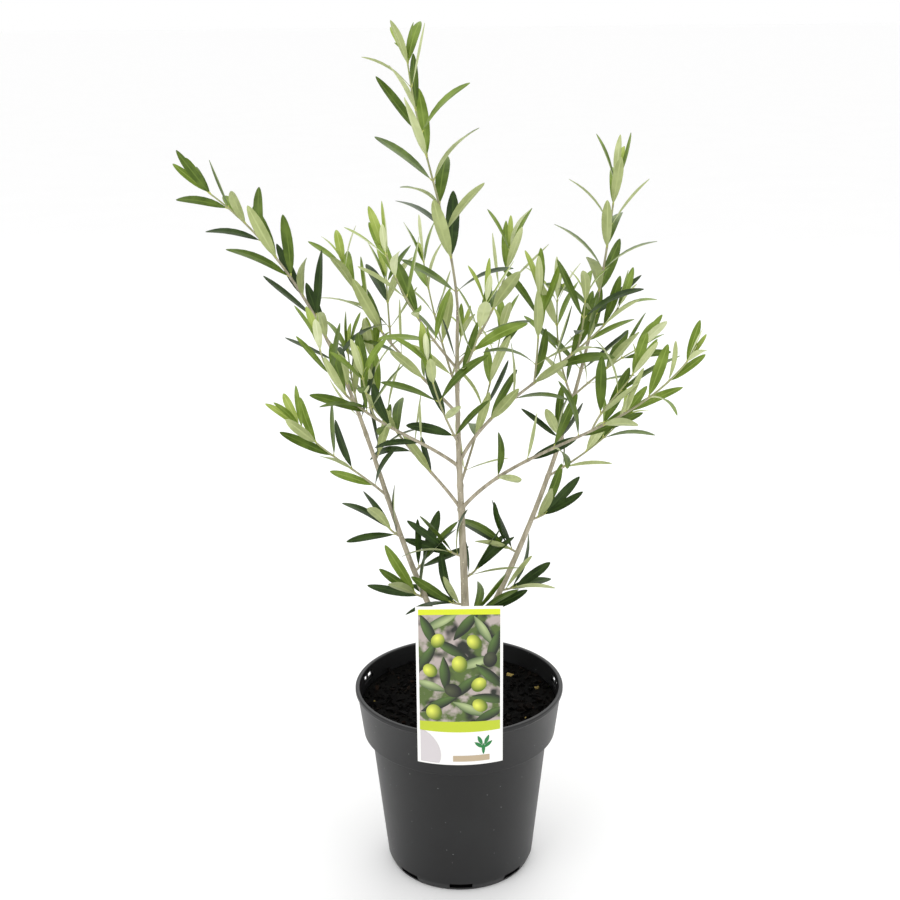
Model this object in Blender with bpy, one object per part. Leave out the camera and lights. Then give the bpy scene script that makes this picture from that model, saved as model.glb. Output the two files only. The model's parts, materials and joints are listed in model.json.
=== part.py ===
"""A young olive in a tapered nursery pot: three stems, side boughs, leafy shoots, mix and a plain card.

Metres, +Z up. The origin is the middle of the pot's flat underside. The front, where the card hangs,
is -Y, and +X is to the right of someone who looks at the front.
"""

import math
import random
from dataclasses import dataclass

import bmesh
import bpy
from mathutils import Vector
from mathutils.bvhtree import BVHTree

# Clearance between pieces that rest on each other
GAP = 0.0003
TURNED_SMOOTH_ANGLE = 35
LIMB_SMOOTH_ANGLE = 50

# Pot: a moulded cup with a deep collar under its rim
POT_HEIGHT = 0.186
RIM_RADIUS = 0.100
LIP_DEPTH = 0.004
COLLAR_RADIUS = 0.0982
COLLAR_FOOT_RADIUS = 0.0928
COLLAR_DEPTH = 0.047
BODY_RADIUS = 0.0855
HEEL_RADIUS = 0.0718
HEEL_HEIGHT = 0.008
BASE_RADIUS = 0.0672
BASE_CHAMFER = (0.0022, 0.0016)
WALL = 0.0022
FLOOR = 0.0026
FLOOR_FILLET = 0.0020
SHOULDER = 0.0058
EDGE = 0.0010
POT_SIDES = 48
DRAIN_HOLES = 8
DRAIN_WIDTH = 0.022
DRAIN_HEIGHT = 0.0055
DRAIN_DEPTH = 0.016
DRAIN_ABOVE_FLOOR = 0.0004

# Potting mix
MIX_HEIGHT = 0.169
MIX_DISH = 0.003
MIX_MOUND_RADIUS = 0.024

# Card hooked over the rim
CARD_WIDTH = 0.0765
CARD_TOP = 0.311
CARD_BOTTOM = 0.155
CARD_THICKNESS = 0.0008
CARD_COLUMNS = 10
CARD_ROWS = 8
CARD_STRAIGHT_FROM = 0.215
TAB_WIDTH = 0.030
TAB_DROP = 0.014
TAB_THICKNESS = 0.0010

# Trunk foot
TRUNK_X = 0.007
TRUNK_Y = -0.012
FLARE = 0.0034
FLARE_HEIGHT = 0.016

# Leaves
LEAF_SLIMNESS = 5.3
LEAF_STALK = 0.0013
LEAF_CURL = 0.10
LEAF_FOLD = 0.16
LEAF_LIFT = 0.20
LEAF_FACES_UP = 0.4
LEAF_STATIONS = ((0.30, 0.92), (0.66, 0.88))
CURL_CREST = 0.35
SPREAD_AT_FOOT = 58
SPREAD_AT_TIP = 32
SPREAD_VARIES = 7
ROLL_VARIES = 12
LENGTH_VARIES = (0.88, 1.10)
CURL_VARIES = (0.2, 1.6)
CLEARANCE = 0.0005
STALK_SHARE = 0.14
LEAF_TRIES = 5
TURN_PER_TRY = 14
CLOSE_PER_TRY = 3
SEED = 4173

# Limbs and twigs
PATH_STEP = 0.002
FIRST_PAIR = 0.010
LAST_PAIR = 0.003
LEAST_LEAN = 0.2
FOOT_RING_OFF = 0.002
SPRAY_RADII = (0.0011, 0.0009)
LIMB_SIDES = 8
LIMB_RING_EVERY = 0.016
TWIG_RING_EVERY = 0.024


@dataclass(frozen=True)
class Shoot:
    """One axis of the plant, from its foot on its parent to its tip.

    along is the distance up the parent, in metres. heading is in degrees, anticlockwise from +X seen
    from above. climb is the angle above level at the foot, the middle and the tip. The first bare
    metres are a limb of their own, and leaf pairs stand on the rest.
    """

    name: str
    parent: str
    along: float
    heading: float
    climb: tuple
    length: float
    radii: tuple
    bare: float = 0.0
    limb: str = ""
    joins: str = ""
    pairs: int = 0
    roll: float = 0.0
    leaf: tuple = (0.048, 0.056, 0.034)


TRUNK = Shoot("trunk", "", 0, 180, (91, 88, 92), 0.385, (0.0047, 0.0013), bare=0.385, limb="trunk")

STEMS = (
    Shoot("left_stem", "trunk", 0.034, 172, (57, 72, 35), 0.512, (0.0031, 0.0007), bare=0.290,
          limb="left_stem", pairs=11, roll=30, leaf=(0.056, 0.062, 0.042)),
    Shoot("right_stem", "trunk", 0.050, 18, (60, 72, 85), 0.466, (0.0031, 0.0007), bare=0.284,
          limb="right_stem", pairs=9, roll=30, leaf=(0.056, 0.064, 0.044)),
)

BOUGHS = (
    Shoot("left_low", "trunk", 0.199, 146, (48, 44, 100), 0.172, (0.0016, 0.0007), bare=0.034,
          limb="left_low_bough", pairs=7, roll=20, leaf=(0.050, 0.058, 0.038)),
    Shoot("left_front", "trunk", 0.240, 202, (42, 36, 80), 0.182, (0.0017, 0.0007), bare=0.036,
          limb="left_front_bough", pairs=8, roll=70, leaf=(0.048, 0.056, 0.034)),
    Shoot("left_back", "trunk", 0.290, 150, (40, 43, 68), 0.174, (0.0015, 0.0007), bare=0.034,
          limb="left_back_bough", pairs=8, roll=20, leaf=(0.048, 0.056, 0.034)),
    Shoot("left_high", "trunk", 0.332, 218, (48, 55, 69), 0.134, (0.0013, 0.0007), bare=0.028,
          limb="left_high_bough", pairs=6, roll=70, leaf=(0.048, 0.056, 0.034)),
    Shoot("right_low", "trunk", 0.199, -28, (52, 30, 56), 0.268, (0.0018, 0.0007), bare=0.042,
          limb="right_low_bough", pairs=11, roll=45, leaf=(0.052, 0.062, 0.038)),
    Shoot("right_mid", "trunk", 0.244, -3, (66, 38, 56), 0.202, (0.0017, 0.0007), bare=0.040,
          limb="right_mid_bough", pairs=9, roll=20, leaf=(0.052, 0.062, 0.038)),
    Shoot("right_high", "trunk", 0.334, 36, (42, 58, 82), 0.118, (0.0013, 0.0007), bare=0.026,
          limb="right_high_bough", pairs=6, roll=70, leaf=(0.050, 0.058, 0.036)),
)

LEAFY = (
    Shoot("leader", "trunk", 0.385, 180, (87, 76, 84), 0.221, (0.0012, 0.0006), pairs=10, roll=-30,
          leaf=(0.058, 0.064, 0.040)),
    Shoot("left_shoot", "left_stem", 0.190, 195, (47, 40, 53), 0.108, (0.0012, 0.0006), pairs=6,
          roll=60, leaf=(0.048, 0.056, 0.038)),
    Shoot("left_upper_shoot", "left_stem", 0.252, 120, (50, 66, 78), 0.078, (0.0011, 0.0006),
          pairs=4, roll=10),
    Shoot("right_shoot", "right_stem", 0.190, 6, (30, 36, 48), 0.084, (0.0012, 0.0006), pairs=5,
          roll=60),
    Shoot("right_inner_shoot", "right_stem", 0.266, 140, (58, 80, 92), 0.094, (0.0011, 0.0006),
          pairs=5, roll=10),
    Shoot("right_outer_shoot", "right_stem", 0.270, 22, (36, 30, 20), 0.076, (0.0011, 0.0006),
          pairs=5, roll=60),
    Shoot("back_low_shoot", "trunk", 0.222, 66, (44, 50, 62), 0.158, (0.0013, 0.0006), pairs=7,
          roll=40),
    Shoot("back_high_shoot", "trunk", 0.312, 112, (42, 52, 66), 0.132, (0.0012, 0.0006), pairs=6,
          roll=10),
    Shoot("front_low_shoot", "trunk", 0.262, 252, (42, 48, 62), 0.128, (0.0012, 0.0006), pairs=6,
          roll=30),
    Shoot("front_high_shoot", "trunk", 0.318, 292, (44, 52, 68), 0.108, (0.0012, 0.0006), pairs=5,
          roll=60),
)

SIDE_TWIGS = (
    Shoot("right_low_twig", "right_low", 0.158, -6, (70, 52, 60), 0.062, (0.0010, 0.0006),
          joins="right_low", pairs=4, roll=20, leaf=(0.054, 0.064, 0.040)),
    Shoot("right_mid_twig", "right_mid", 0.102, 70, (66, 80, 88), 0.078, (0.0010, 0.0006),
          joins="right_mid", pairs=4, roll=20),
    Shoot("right_mid_near_twig", "right_mid", 0.150, -70, (60, 74, 84), 0.050, (0.0010, 0.0006),
          joins="right_mid", pairs=3, roll=60),
    Shoot("left_front_twig", "left_front", 0.096, 250, (44, 60, 70), 0.052, (0.0010, 0.0006),
          joins="left_front", pairs=3, roll=20),
    Shoot("left_back_twig", "left_back", 0.090, 98, (46, 60, 74), 0.062, (0.0010, 0.0006),
          joins="left_back", pairs=3, roll=20),
)

# Lowest leaves, as short sprays: parent, distance up it, heading and climb
SPRAY_PLACES = (
    ("trunk", 0.092, -8, 16),
    ("trunk", 0.104, 200, 10),
    ("trunk", 0.130, 24, 24),
    ("trunk", 0.152, 172, 16),
    ("left_stem", 0.084, 200, 26),
    ("left_stem", 0.112, 20, 40),
    ("left_stem", 0.148, 184, 34),
    ("left_stem", 0.226, 60, 40),
    ("right_stem", 0.072, -12, 12),
    ("right_stem", 0.112, 172, 24),
    ("right_stem", 0.146, -4, 20),
    ("right_stem", 0.226, 250, 40),
)
SPRAY_LENGTH = 0.014
SPRAY_PAIRS = 2
SPRAY_LEAF = (0.052, 0.054, 0.052)


def sprays():
    """The short leafy sprays on the lower stems, as shoots."""
    made = []
    for number, (parent, along, heading, climb) in enumerate(SPRAY_PLACES, start=1):
        made.append(
            Shoot(f"{parent}_spray_{number}", parent, along, heading, (climb, climb + 6, climb + 12),
                  SPRAY_LENGTH, SPRAY_RADII, pairs=SPRAY_PAIRS, roll=15.0 * number, leaf=SPRAY_LEAF)
        )
    return made


def clear_scene():
    """Leaves an empty scene."""
    for obj in list(bpy.data.objects):
        bpy.data.objects.remove(obj, do_unlink=True)


def material(name, colour, roughness, metallic=0.0):
    """A Principled material with one colour, roughness and metallic value."""
    made = bpy.data.materials.new(name)
    made.use_nodes = True
    shader = made.node_tree.nodes["Principled BSDF"]
    shader.inputs["Base Color"].default_value = (*colour, 1.0)
    shader.inputs["Roughness"].default_value = roughness
    shader.inputs["Metallic"].default_value = metallic
    return made


def finished(name, bm, finish, smooth_angle=None):
    """Makes the object of a bmesh, with its faces turned outwards."""
    bmesh.ops.recalc_face_normals(bm, faces=bm.faces)
    mesh = bpy.data.meshes.new(name)
    bm.to_mesh(mesh)
    bm.free()
    if smooth_angle is not None:
        mesh.shade_smooth()
        mesh.set_sharp_from_angle(angle=math.radians(smooth_angle))
    obj = bpy.data.objects.new(name, mesh)
    bpy.context.scene.collection.objects.link(obj)
    obj.data.materials.append(finish)
    return obj


def turned(name, profile, sides, finish):
    """Spins a profile of (radius, height) points, from the axis round to the axis, about +Z."""
    bm = bmesh.new()
    points = [bm.verts.new((radius, 0.0, height)) for radius, height in profile]
    edges = [bm.edges.new(pair) for pair in zip(points, points[1:])]
    bmesh.ops.spin(bm, geom=points + edges, cent=(0, 0, 0), axis=(0, 0, 1),
                   angle=2 * math.pi, steps=sides, use_merge=True)
    bmesh.ops.remove_doubles(bm, verts=bm.verts, dist=1e-6)
    return finished(name, bm, finish, TURNED_SMOOTH_ANGLE)


def inner_radius(height):
    """The pot's inside radius at a height above the floor."""
    step = POT_HEIGHT - COLLAR_DEPTH
    if height < step:
        share = (height - HEEL_HEIGHT) / (step - HEEL_HEIGHT)
        return HEEL_RADIUS - WALL + (BODY_RADIUS - HEEL_RADIUS) * max(share, 0.0)
    share = (height - step) / COLLAR_DEPTH
    return COLLAR_FOOT_RADIUS - WALL + (COLLAR_RADIUS - COLLAR_FOOT_RADIUS) * share


def pot(finish):
    """The pot, with drain holes cut through its heel."""
    step = POT_HEIGHT - COLLAR_DEPTH
    lip = POT_HEIGHT - LIP_DEPTH
    outside = [
        (0.0, 0.0),
        (BASE_RADIUS, 0.0),
        (BASE_RADIUS + BASE_CHAMFER[0], BASE_CHAMFER[1]),
        (HEEL_RADIUS, HEEL_HEIGHT),
        (BODY_RADIUS, step - EDGE),
        (COLLAR_FOOT_RADIUS - EDGE, step),
        (COLLAR_FOOT_RADIUS, step + EDGE),
        (COLLAR_RADIUS, lip - EDGE),
        (RIM_RADIUS, lip),
        (RIM_RADIUS, POT_HEIGHT - EDGE),
        (RIM_RADIUS - EDGE, POT_HEIGHT),
    ]
    inside = [
        (COLLAR_RADIUS - WALL, POT_HEIGHT),
        (inner_radius(step + WALL), step + WALL),
        (inner_radius(step) - SHOULDER, step + WALL),
        (inner_radius(HEEL_HEIGHT), HEEL_HEIGHT),
        (inner_radius(HEEL_HEIGHT) - FLOOR_FILLET, FLOOR),
        (0.0, FLOOR),
    ]
    body = turned("pot", outside + inside, POT_SIDES, finish)
    cut = body.modifiers.new("drain_holes", "BOOLEAN")
    cut.operation = "DIFFERENCE"
    cut.solver = "EXACT"
    cut.object = drain_cutter()
    return body


def drain_cutter():
    """One mesh of blocks, a block for each drain hole in the heel."""
    bm = bmesh.new()
    for hole in range(DRAIN_HOLES):
        angle = -math.pi / 2 + 2 * math.pi * hole / DRAIN_HOLES
        outwards = Vector((math.cos(angle), math.sin(angle), 0))
        block = bmesh.ops.create_cube(bm, size=1.0)["verts"]
        bmesh.ops.scale(bm, verts=block, vec=(DRAIN_DEPTH, DRAIN_WIDTH, DRAIN_HEIGHT))
        bmesh.ops.rotate(bm, verts=block, cent=(0, 0, 0),
                         matrix=outwards.to_track_quat("X", "Z").to_matrix())
        middle = outwards * HEEL_RADIUS
        middle.z = FLOOR + DRAIN_ABOVE_FLOOR + DRAIN_HEIGHT / 2
        bmesh.ops.translate(bm, verts=block, vec=middle)
    mesh = bpy.data.meshes.new("drain_cutter")
    bm.to_mesh(mesh)
    bm.free()
    cutter = bpy.data.objects.new("drain_cutter", mesh)
    cutter.hide_render = True
    cutter.display_type = "WIRE"
    bpy.context.scene.collection.objects.link(cutter)
    return cutter


def potting_mix(finish):
    """The mix that fills the pot, with a slightly dished top."""
    step = POT_HEIGHT - COLLAR_DEPTH
    ledge = inner_radius(step) - SHOULDER - GAP
    profile = [
        (0.0, FLOOR + GAP),
        (inner_radius(HEEL_HEIGHT) - FLOOR_FILLET - 2 * GAP, FLOOR + GAP),
        (inner_radius(HEEL_HEIGHT) - GAP, HEEL_HEIGHT + GAP),
        (ledge, step + WALL + GAP),
        (inner_radius(step + WALL) - 2 * GAP, step + WALL + GAP),
        (inner_radius(MIX_HEIGHT) - 2 * GAP, MIX_HEIGHT),
        (MIX_MOUND_RADIUS * 2.5, MIX_HEIGHT - MIX_DISH),
        (MIX_MOUND_RADIUS * 1.4, MIX_HEIGHT - MIX_DISH / 3),
        (MIX_MOUND_RADIUS, MIX_HEIGHT),
        (0.0, MIX_HEIGHT),
    ]
    return turned("potting_mix", profile, POT_SIDES, finish)


def card_depth(x, height):
    """How far the card's back stands before the pot's axis: round the rim below, straight above."""
    reach = RIM_RADIUS + GAP
    wrapped = math.sqrt(reach * reach - x * x)
    share = (height - POT_HEIGHT) / (CARD_STRAIGHT_FROM - POT_HEIGHT)
    share = min(max(share, 0.0), 1.0)
    return wrapped + (reach - wrapped) * share * share * (3 - 2 * share)


def label_card(finish):
    """A thin card that stands before the rim, with a tab behind that hooks over it."""
    bm = bmesh.new()
    sheets = []
    for push in (0.0, CARD_THICKNESS):
        rows = []
        for row in range(CARD_ROWS + 1):
            height = CARD_BOTTOM + (CARD_TOP - CARD_BOTTOM) * row / CARD_ROWS
            line = []
            for column in range(CARD_COLUMNS + 1):
                x = CARD_WIDTH * (column / CARD_COLUMNS - 0.5)
                line.append(bm.verts.new((x, -card_depth(x, height) - push, height)))
            rows.append(line)
        sheets.append(rows)
    for rows in sheets:
        for low, high in zip(rows, rows[1:]):
            for left in range(CARD_COLUMNS):
                bm.faces.new((low[left], low[left + 1], high[left + 1], high[left]))
    back, front = (edge_loop(rows) for rows in sheets)
    for first in range(len(back)):
        after = (first + 1) % len(back)
        bm.faces.new((back[first], back[after], front[after], front[first]))
    card = finished("label_card", bm, finish)
    hook = card_tab(finish)
    joined(card, [hook])
    return card


def edge_loop(rows):
    """The points round a sheet's edge, in order."""
    right = [row[-1] for row in rows[1:-1]]
    left = [row[0] for row in rows[1:-1]]
    return rows[0] + right + rows[-1][::-1] + left[::-1]


def card_tab(finish):
    """The card's tab: out of its back just over the rim, then down inside the pot."""
    top = POT_HEIGHT + GAP + TAB_THICKNESS
    inner = inner_radius(POT_HEIGHT) - 2 * GAP
    low_inner = inner_radius(top - TAB_DROP) - 2 * GAP
    outer = RIM_RADIUS + GAP + CARD_THICKNESS / 2
    section = [
        (-outer, POT_HEIGHT + GAP),
        (-outer, top),
        (-inner + TAB_THICKNESS, top),
        (-low_inner + TAB_THICKNESS, top - TAB_DROP),
        (-low_inner, top - TAB_DROP),
        (-inner, POT_HEIGHT + GAP),
    ]
    bm = bmesh.new()
    outline = bm.faces.new([bm.verts.new((-TAB_WIDTH / 2, y, z)) for y, z in section])
    grown = bmesh.ops.extrude_face_region(bm, geom=[outline])["geom"]
    moved = [part for part in grown if isinstance(part, bmesh.types.BMVert)]
    bmesh.ops.translate(bm, verts=moved, vec=(TAB_WIDTH, 0, 0))
    for vert in bm.verts:
        if vert.co.y > -outer + GAP:
            vert.co.y = -math.sqrt(vert.co.y**2 - vert.co.x**2)
    return finished("card_tab", bm, finish)


def joined(obj, others):
    """Fuses the others into the object with one Boolean union, applies it, and drops loose scraps."""
    pieces = bpy.data.collections.new(f"{obj.name}_pieces")
    bpy.context.scene.collection.children.link(pieces)
    for other in others:
        pieces.objects.link(other)
    union = obj.modifiers.new("union", "BOOLEAN")
    union.operation = "UNION"
    union.operand_type = "COLLECTION"
    union.collection = pieces
    union.solver = "EXACT"
    bpy.context.view_layer.update()
    graph = bpy.context.evaluated_depsgraph_get()
    fused = bpy.data.meshes.new_from_object(obj.evaluated_get(graph))
    obj.modifiers.remove(union)
    obj.data = fused
    for other in others:
        bpy.data.objects.remove(other, do_unlink=True)
    bpy.data.collections.remove(pieces)
    keep_largest(fused)


def keep_largest(mesh):
    """Deletes every island of a mesh but the one with the most faces."""
    bm = bmesh.new()
    bm.from_mesh(mesh)
    left = set(bm.verts)
    islands = []
    while left:
        island = set()
        open_ends = [left.pop()]
        while open_ends:
            vert = open_ends.pop()
            island.add(vert)
            for edge in vert.link_edges:
                other = edge.other_vert(vert)
                if other in left:
                    left.remove(other)
                    open_ends.append(other)
        islands.append(island)
    islands.sort(key=len)
    scraps = [vert for island in islands[:-1] for vert in island]
    bmesh.ops.delete(bm, geom=scraps, context="VERTS")
    bm.to_mesh(mesh)
    bm.free()


class Plant:
    """The olive: where each shoot runs, and the solids made on it."""

    def __init__(self):
        self.shoots = {}
        self.paths = {}
        self.solids = {}
        self.blades = {}
        self.rng = random.Random(SEED)

    def add(self, shoot):
        """Works out a shoot's path from its parent's."""
        heading = math.radians(shoot.heading)
        outwards = Vector((math.cos(heading), math.sin(heading), 0))
        if shoot.parent:
            place = self.at(shoot.parent, shoot.along)[0]
        else:
            place = Vector((TRUNK_X, TRUNK_Y, MIX_HEIGHT + GAP))
        path = []
        steps = round(shoot.length / PATH_STEP)
        foot, middle, tip = shoot.climb
        for number in range(steps + 1):
            t = number / steps
            climb = foot * (1 - t) * (1 - 2 * t) + middle * 4 * t * (1 - t) + tip * t * (2 * t - 1)
            climb = math.radians(climb)
            course = outwards * math.cos(climb) + Vector((0, 0, math.sin(climb)))
            path.append((place.copy(), course))
            place += course * (shoot.length / steps)
        self.shoots[shoot.name] = shoot
        self.paths[shoot.name] = path

    def at(self, name, along):
        """The point and course of a shoot at a distance from its foot."""
        path = self.paths[name]
        share = min(max(along / self.shoots[name].length, 0.0), 1.0) * (len(path) - 1)
        low = min(int(share), len(path) - 2)
        part = share - low
        place = path[low][0].lerp(path[low + 1][0], part)
        course = path[low][1].lerp(path[low + 1][1], part)
        return place, course.normalized()

    def radius(self, name, along):
        """A shoot's radius at a distance from its foot, with the trunk's root flare."""
        shoot = self.shoots[name]
        share = min(along / shoot.length, 1.0)
        radius = shoot.radii[0] + (shoot.radii[1] - shoot.radii[0]) * share
        if not shoot.parent:
            radius += FLARE * math.exp(-along / FLARE_HEIGHT)
        return radius

    def foot_cut(self, shoot):
        """The upright plane, just clear of the parent, that a side shoot's foot is cut to."""
        place, course = self.at(shoot.name, 0.0)
        parent_course = self.at(shoot.parent, shoot.along)[1]
        normal = (course - parent_course * course.dot(parent_course)).normalized()
        return place, normal, self.radius(shoot.parent, shoot.along) + GAP

    def starts_at_tip(self, shoot):
        """Whether a shoot carries on from its parent's tip."""
        return bool(shoot.parent) and shoot.along >= self.shoots[shoot.parent].length

    def tube(self, bm, shoot, start, end, sides, ring_every, cut_foot):
        """A tapered limb or twig between two distances along a shoot, closed at both ends."""
        side = Vector((-math.sin(math.radians(shoot.heading)), math.cos(math.radians(shoot.heading)), 0))
        first = start
        if cut_foot:
            place, normal, reach = self.foot_cut(shoot)
            course = self.at(shoot.name, 0.0)[1]
            lean = max(course.dot(normal), LEAST_LEAN)
            first = (reach + self.radius(shoot.name, 0)) / lean + FOOT_RING_OFF
        count = max(2, round((end - first) / ring_every) + 1)
        stations = [first + (end - first) * number / (count - 1) for number in range(count)]
        rings = []
        if cut_foot:
            rings.append(self.cut_ring(bm, shoot, sides, side, course, normal, reach, place))
        for along in stations:
            centre, course_here = self.at(shoot.name, along)
            up = course_here.cross(side)
            radius = self.radius(shoot.name, along)
            ring = []
            for number in range(sides):
                angle = 2 * math.pi * number / sides
                ring.append(bm.verts.new(centre + (side * math.cos(angle) + up * math.sin(angle)) * radius))
            rings.append(ring)
        for low, high in zip(rings, rings[1:]):
            for number in range(sides):
                after = (number + 1) % sides
                bm.faces.new((low[number], low[after], high[after], high[number]))
        bm.faces.new(rings[0][::-1])
        bm.faces.new(rings[-1])

    def cut_ring(self, bm, shoot, sides, side, course, normal, reach, place):
        """The foot's ring, with each point slid along the shoot to the cut plane."""
        up = course.cross(side)
        radius = self.radius(shoot.name, 0)
        ring = []
        for number in range(sides):
            angle = 2 * math.pi * number / sides
            offset = (side * math.cos(angle) + up * math.sin(angle)) * radius
            slide = (reach - offset.dot(normal)) / max(course.dot(normal), LEAST_LEAN)
            ring.append(bm.verts.new(place + offset + course * slide))
        return ring

    def limb(self, shoot, finish):
        """The bare part of a shoot, as its own solid."""
        bm = bmesh.new()
        cut_foot = bool(shoot.parent)
        self.tube(bm, shoot, 0.0, shoot.bare, LIMB_SIDES, LIMB_RING_EVERY, cut_foot)
        obj = finished(shoot.limb, bm, finish, LIMB_SMOOTH_ANGLE)
        self.solids[obj.name] = [tree_of(obj.data)]
        return obj

    def twig(self, shoot, node, finish):
        """The leafy part's stem: three-sided, clear of what it grows on, or sunk into its own mass."""
        bm = bmesh.new()
        if shoot.joins:
            self.tube(bm, shoot, 0.0, shoot.length, 3, TWIG_RING_EVERY, cut_foot=False)
        elif shoot.bare or self.starts_at_tip(shoot):
            self.tube(bm, shoot, shoot.bare + GAP, shoot.length, 3, TWIG_RING_EVERY, cut_foot=False)
        else:
            self.tube(bm, shoot, 0.0, shoot.length, 3, TWIG_RING_EVERY, cut_foot=True)
        obj = finished(node, bm, finish)
        self.solids.setdefault(node, []).append(tree_of(obj.data))
        return obj

    def leaves(self, shoot, node, finish):
        """Opposite pairs of leaves up a shoot, each pair at right angles to the last."""
        made = []
        first = shoot.bare + FIRST_PAIR if shoot.bare else min(FIRST_PAIR * 1.6, shoot.length * 0.4)
        last = shoot.length - LAST_PAIR
        for pair in range(shoot.pairs):
            share = pair / max(shoot.pairs - 1, 1)
            along = first + (last - first) * share
            for way in (0, 180):
                leaf = self.leaf(shoot, node, along, share, shoot.roll + 90 * pair + way)
                if leaf:
                    made.append(finished(f"{node}_leaf", leaf, finish))
        return made

    def leaf(self, shoot, node, along, share, roll):
        """One leaf as a bmesh, or None where every try meets another piece."""
        length = blended(shoot.leaf, share) * self.rng.uniform(*LENGTH_VARIES)
        spread = SPREAD_AT_FOOT + (SPREAD_AT_TIP - SPREAD_AT_FOOT) * share
        spread += self.rng.uniform(-SPREAD_VARIES, SPREAD_VARIES)
        roll += self.rng.uniform(-ROLL_VARIES, ROLL_VARIES)
        curl = LEAF_CURL * self.rng.uniform(*CURL_VARIES)
        for attempt in range(LEAF_TRIES):
            turn = (attempt + 1) // 2 * (-1) ** attempt * TURN_PER_TRY
            closer = spread - CLOSE_PER_TRY * attempt
            root, course, face = self.leaf_aim(shoot, along, closer, roll + turn)
            whole = BVHTree.FromPolygons(*leaf_shape(root, course, face, length, curl, CLEARANCE))
            past_stalk = root + course * length * STALK_SHARE
            blade = leaf_shape(past_stalk, course, face, length * (1 - STALK_SHARE), curl, CLEARANCE)
            blade = BVHTree.FromPolygons(*blade)
            if self.clear(node, whole, blade):
                self.solids[node].append(whole)
                self.blades[node].append(blade)
                return shape_bmesh(*leaf_shape(root, course, face, length, curl, 0.0))
        return None

    def leaf_aim(self, shoot, along, spread, roll):
        """Where a leaf starts, where it points and which way its upper side faces."""
        root, course = self.at(shoot.name, along)
        heading = math.radians(shoot.heading)
        side = Vector((-math.sin(heading), math.cos(heading), 0))
        up = course.cross(side)
        roll = math.radians(roll)
        outwards = side * math.cos(roll) + up * math.sin(roll)
        spread = math.radians(spread)
        aim = course * math.cos(spread) + outwards * math.sin(spread) + Vector((0, 0, LEAF_LIFT))
        aim.normalize()
        inwards = course + Vector((0, 0, LEAF_FACES_UP))
        face = (inwards - aim * inwards.dot(aim)).normalized()
        return root, aim, face

    def clear(self, node, whole, blade):
        """Whether a leaf is clear of every other node, and its blade of its own mass's leaves."""
        for name, trees in self.solids.items():
            if name != node and any(whole.overlap(tree) for tree in trees):
                return False
        return not any(blade.overlap(tree) for tree in self.blades[node])

    def masses(self, limb_shoots, leafy_shoots, twig_finish, leaf_finish):
        """Every mass of foliage: first all the twigs, then their leaves, then one union for each."""
        groups = {}
        for shoot in limb_shoots + leafy_shoots:
            if shoot.pairs:
                owner = shoot.joins or shoot.name
                groups.setdefault(f"{owner}_foliage", []).append(shoot)
        stems = {}
        for node, shoots in groups.items():
            stems[node] = [self.twig(shoot, node, twig_finish) for shoot in shoots]
        self.blades = {node: [] for node in groups}
        made = []
        for node, shoots in groups.items():
            pieces = stems[node][1:]
            for shoot in shoots:
                pieces += self.leaves(shoot, node, leaf_finish)
            stem = stems[node][0]
            stem.data.materials.append(leaf_finish)
            joined(stem, pieces)
            stem.name = node
            made.append(stem)
        return made


def blended(values, share):
    """The value at a share of the way through (foot, middle, tip)."""
    foot, middle, tip = values
    if share < 0.5:
        return foot + (middle - foot) * share * 2
    return middle + (tip - middle) * (share * 2 - 1)


def leaf_shape(root, course, face, length, curl, extra):
    """Points and faces of a slim folded leaf, thickened and widened by extra for a clearance test."""
    side = course.cross(face)
    half = length / LEAF_SLIMNESS / 2 + extra
    stalk = LEAF_STALK / 2 + extra
    points = [root + face * stalk, root - face * stalk]
    for share, fullness in LEAF_STATIONS:
        lift = face * (length * curl * (CURL_CREST - share * share) + half * LEAF_FOLD)
        middle = root + course * length * share + lift
        points.append(middle + side * half * fullness)
        points.append(middle - side * half * fullness)
    points.append(root + course * (length + extra) - face * length * curl * (1 - CURL_CREST))
    faces = [
        (0, 2, 4), (0, 4, 6), (0, 6, 5), (0, 5, 3),
        (1, 4, 2), (1, 6, 4), (1, 5, 6), (1, 3, 5),
        (0, 1, 2), (0, 3, 1),
    ]
    return points, faces


def shape_bmesh(points, faces):
    """A bmesh of points and faces."""
    bm = bmesh.new()
    verts = [bm.verts.new(point) for point in points]
    for face in faces:
        bm.faces.new([verts[index] for index in face])
    return bm


def tree_of(mesh):
    """A mesh as a tree that overlaps can be looked up in."""
    points = [vert.co.copy() for vert in mesh.vertices]
    faces = [tuple(face.vertices) for face in mesh.polygons]
    return BVHTree.FromPolygons(points, faces)


def main():
    """Builds the pot, its mix and card, and the plant."""
    clear_scene()
    black_plastic = material("black_moulded_plastic", (0.020, 0.021, 0.022), 0.42)
    bark_mix = material("potting_mix", (0.018, 0.013, 0.010), 0.95)
    card_stock = material("card", (0.80, 0.82, 0.60), 0.45)
    grey_bark = material("grey_bark", (0.33, 0.28, 0.21), 0.85)
    young_bark = material("young_bark", (0.42, 0.42, 0.22), 0.70)
    leaf_green = material("leaf_green", (0.085, 0.17, 0.035), 0.50)

    pot(black_plastic)
    potting_mix(bark_mix)
    label_card(card_stock)

    plant = Plant()
    limbs = [TRUNK, *STEMS, *BOUGHS]
    leafy = [*LEAFY, *SIDE_TWIGS, *sprays()]
    for shoot in limbs + leafy:
        plant.add(shoot)
    for shoot in limbs:
        plant.limb(shoot, grey_bark)
    plant.masses(limbs, leafy, young_bark, leaf_green)


main()
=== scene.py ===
"""A young olive in a black nursery pot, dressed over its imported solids.

Metres, +Z up, in the solids' own frame: the pot stands on z = 0, its axis is the Z axis, the card hangs
at the front, -Y, and +X is to the right of someone who looks at the front.
"""

import json
import logging
import math
import random
from collections.abc import Callable, Iterable, Sequence
from dataclasses import dataclass, field
from enum import Enum
from typing import Any

import bpy
from mathutils import Matrix, Vector
from mathutils.kdtree import KDTree

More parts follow.
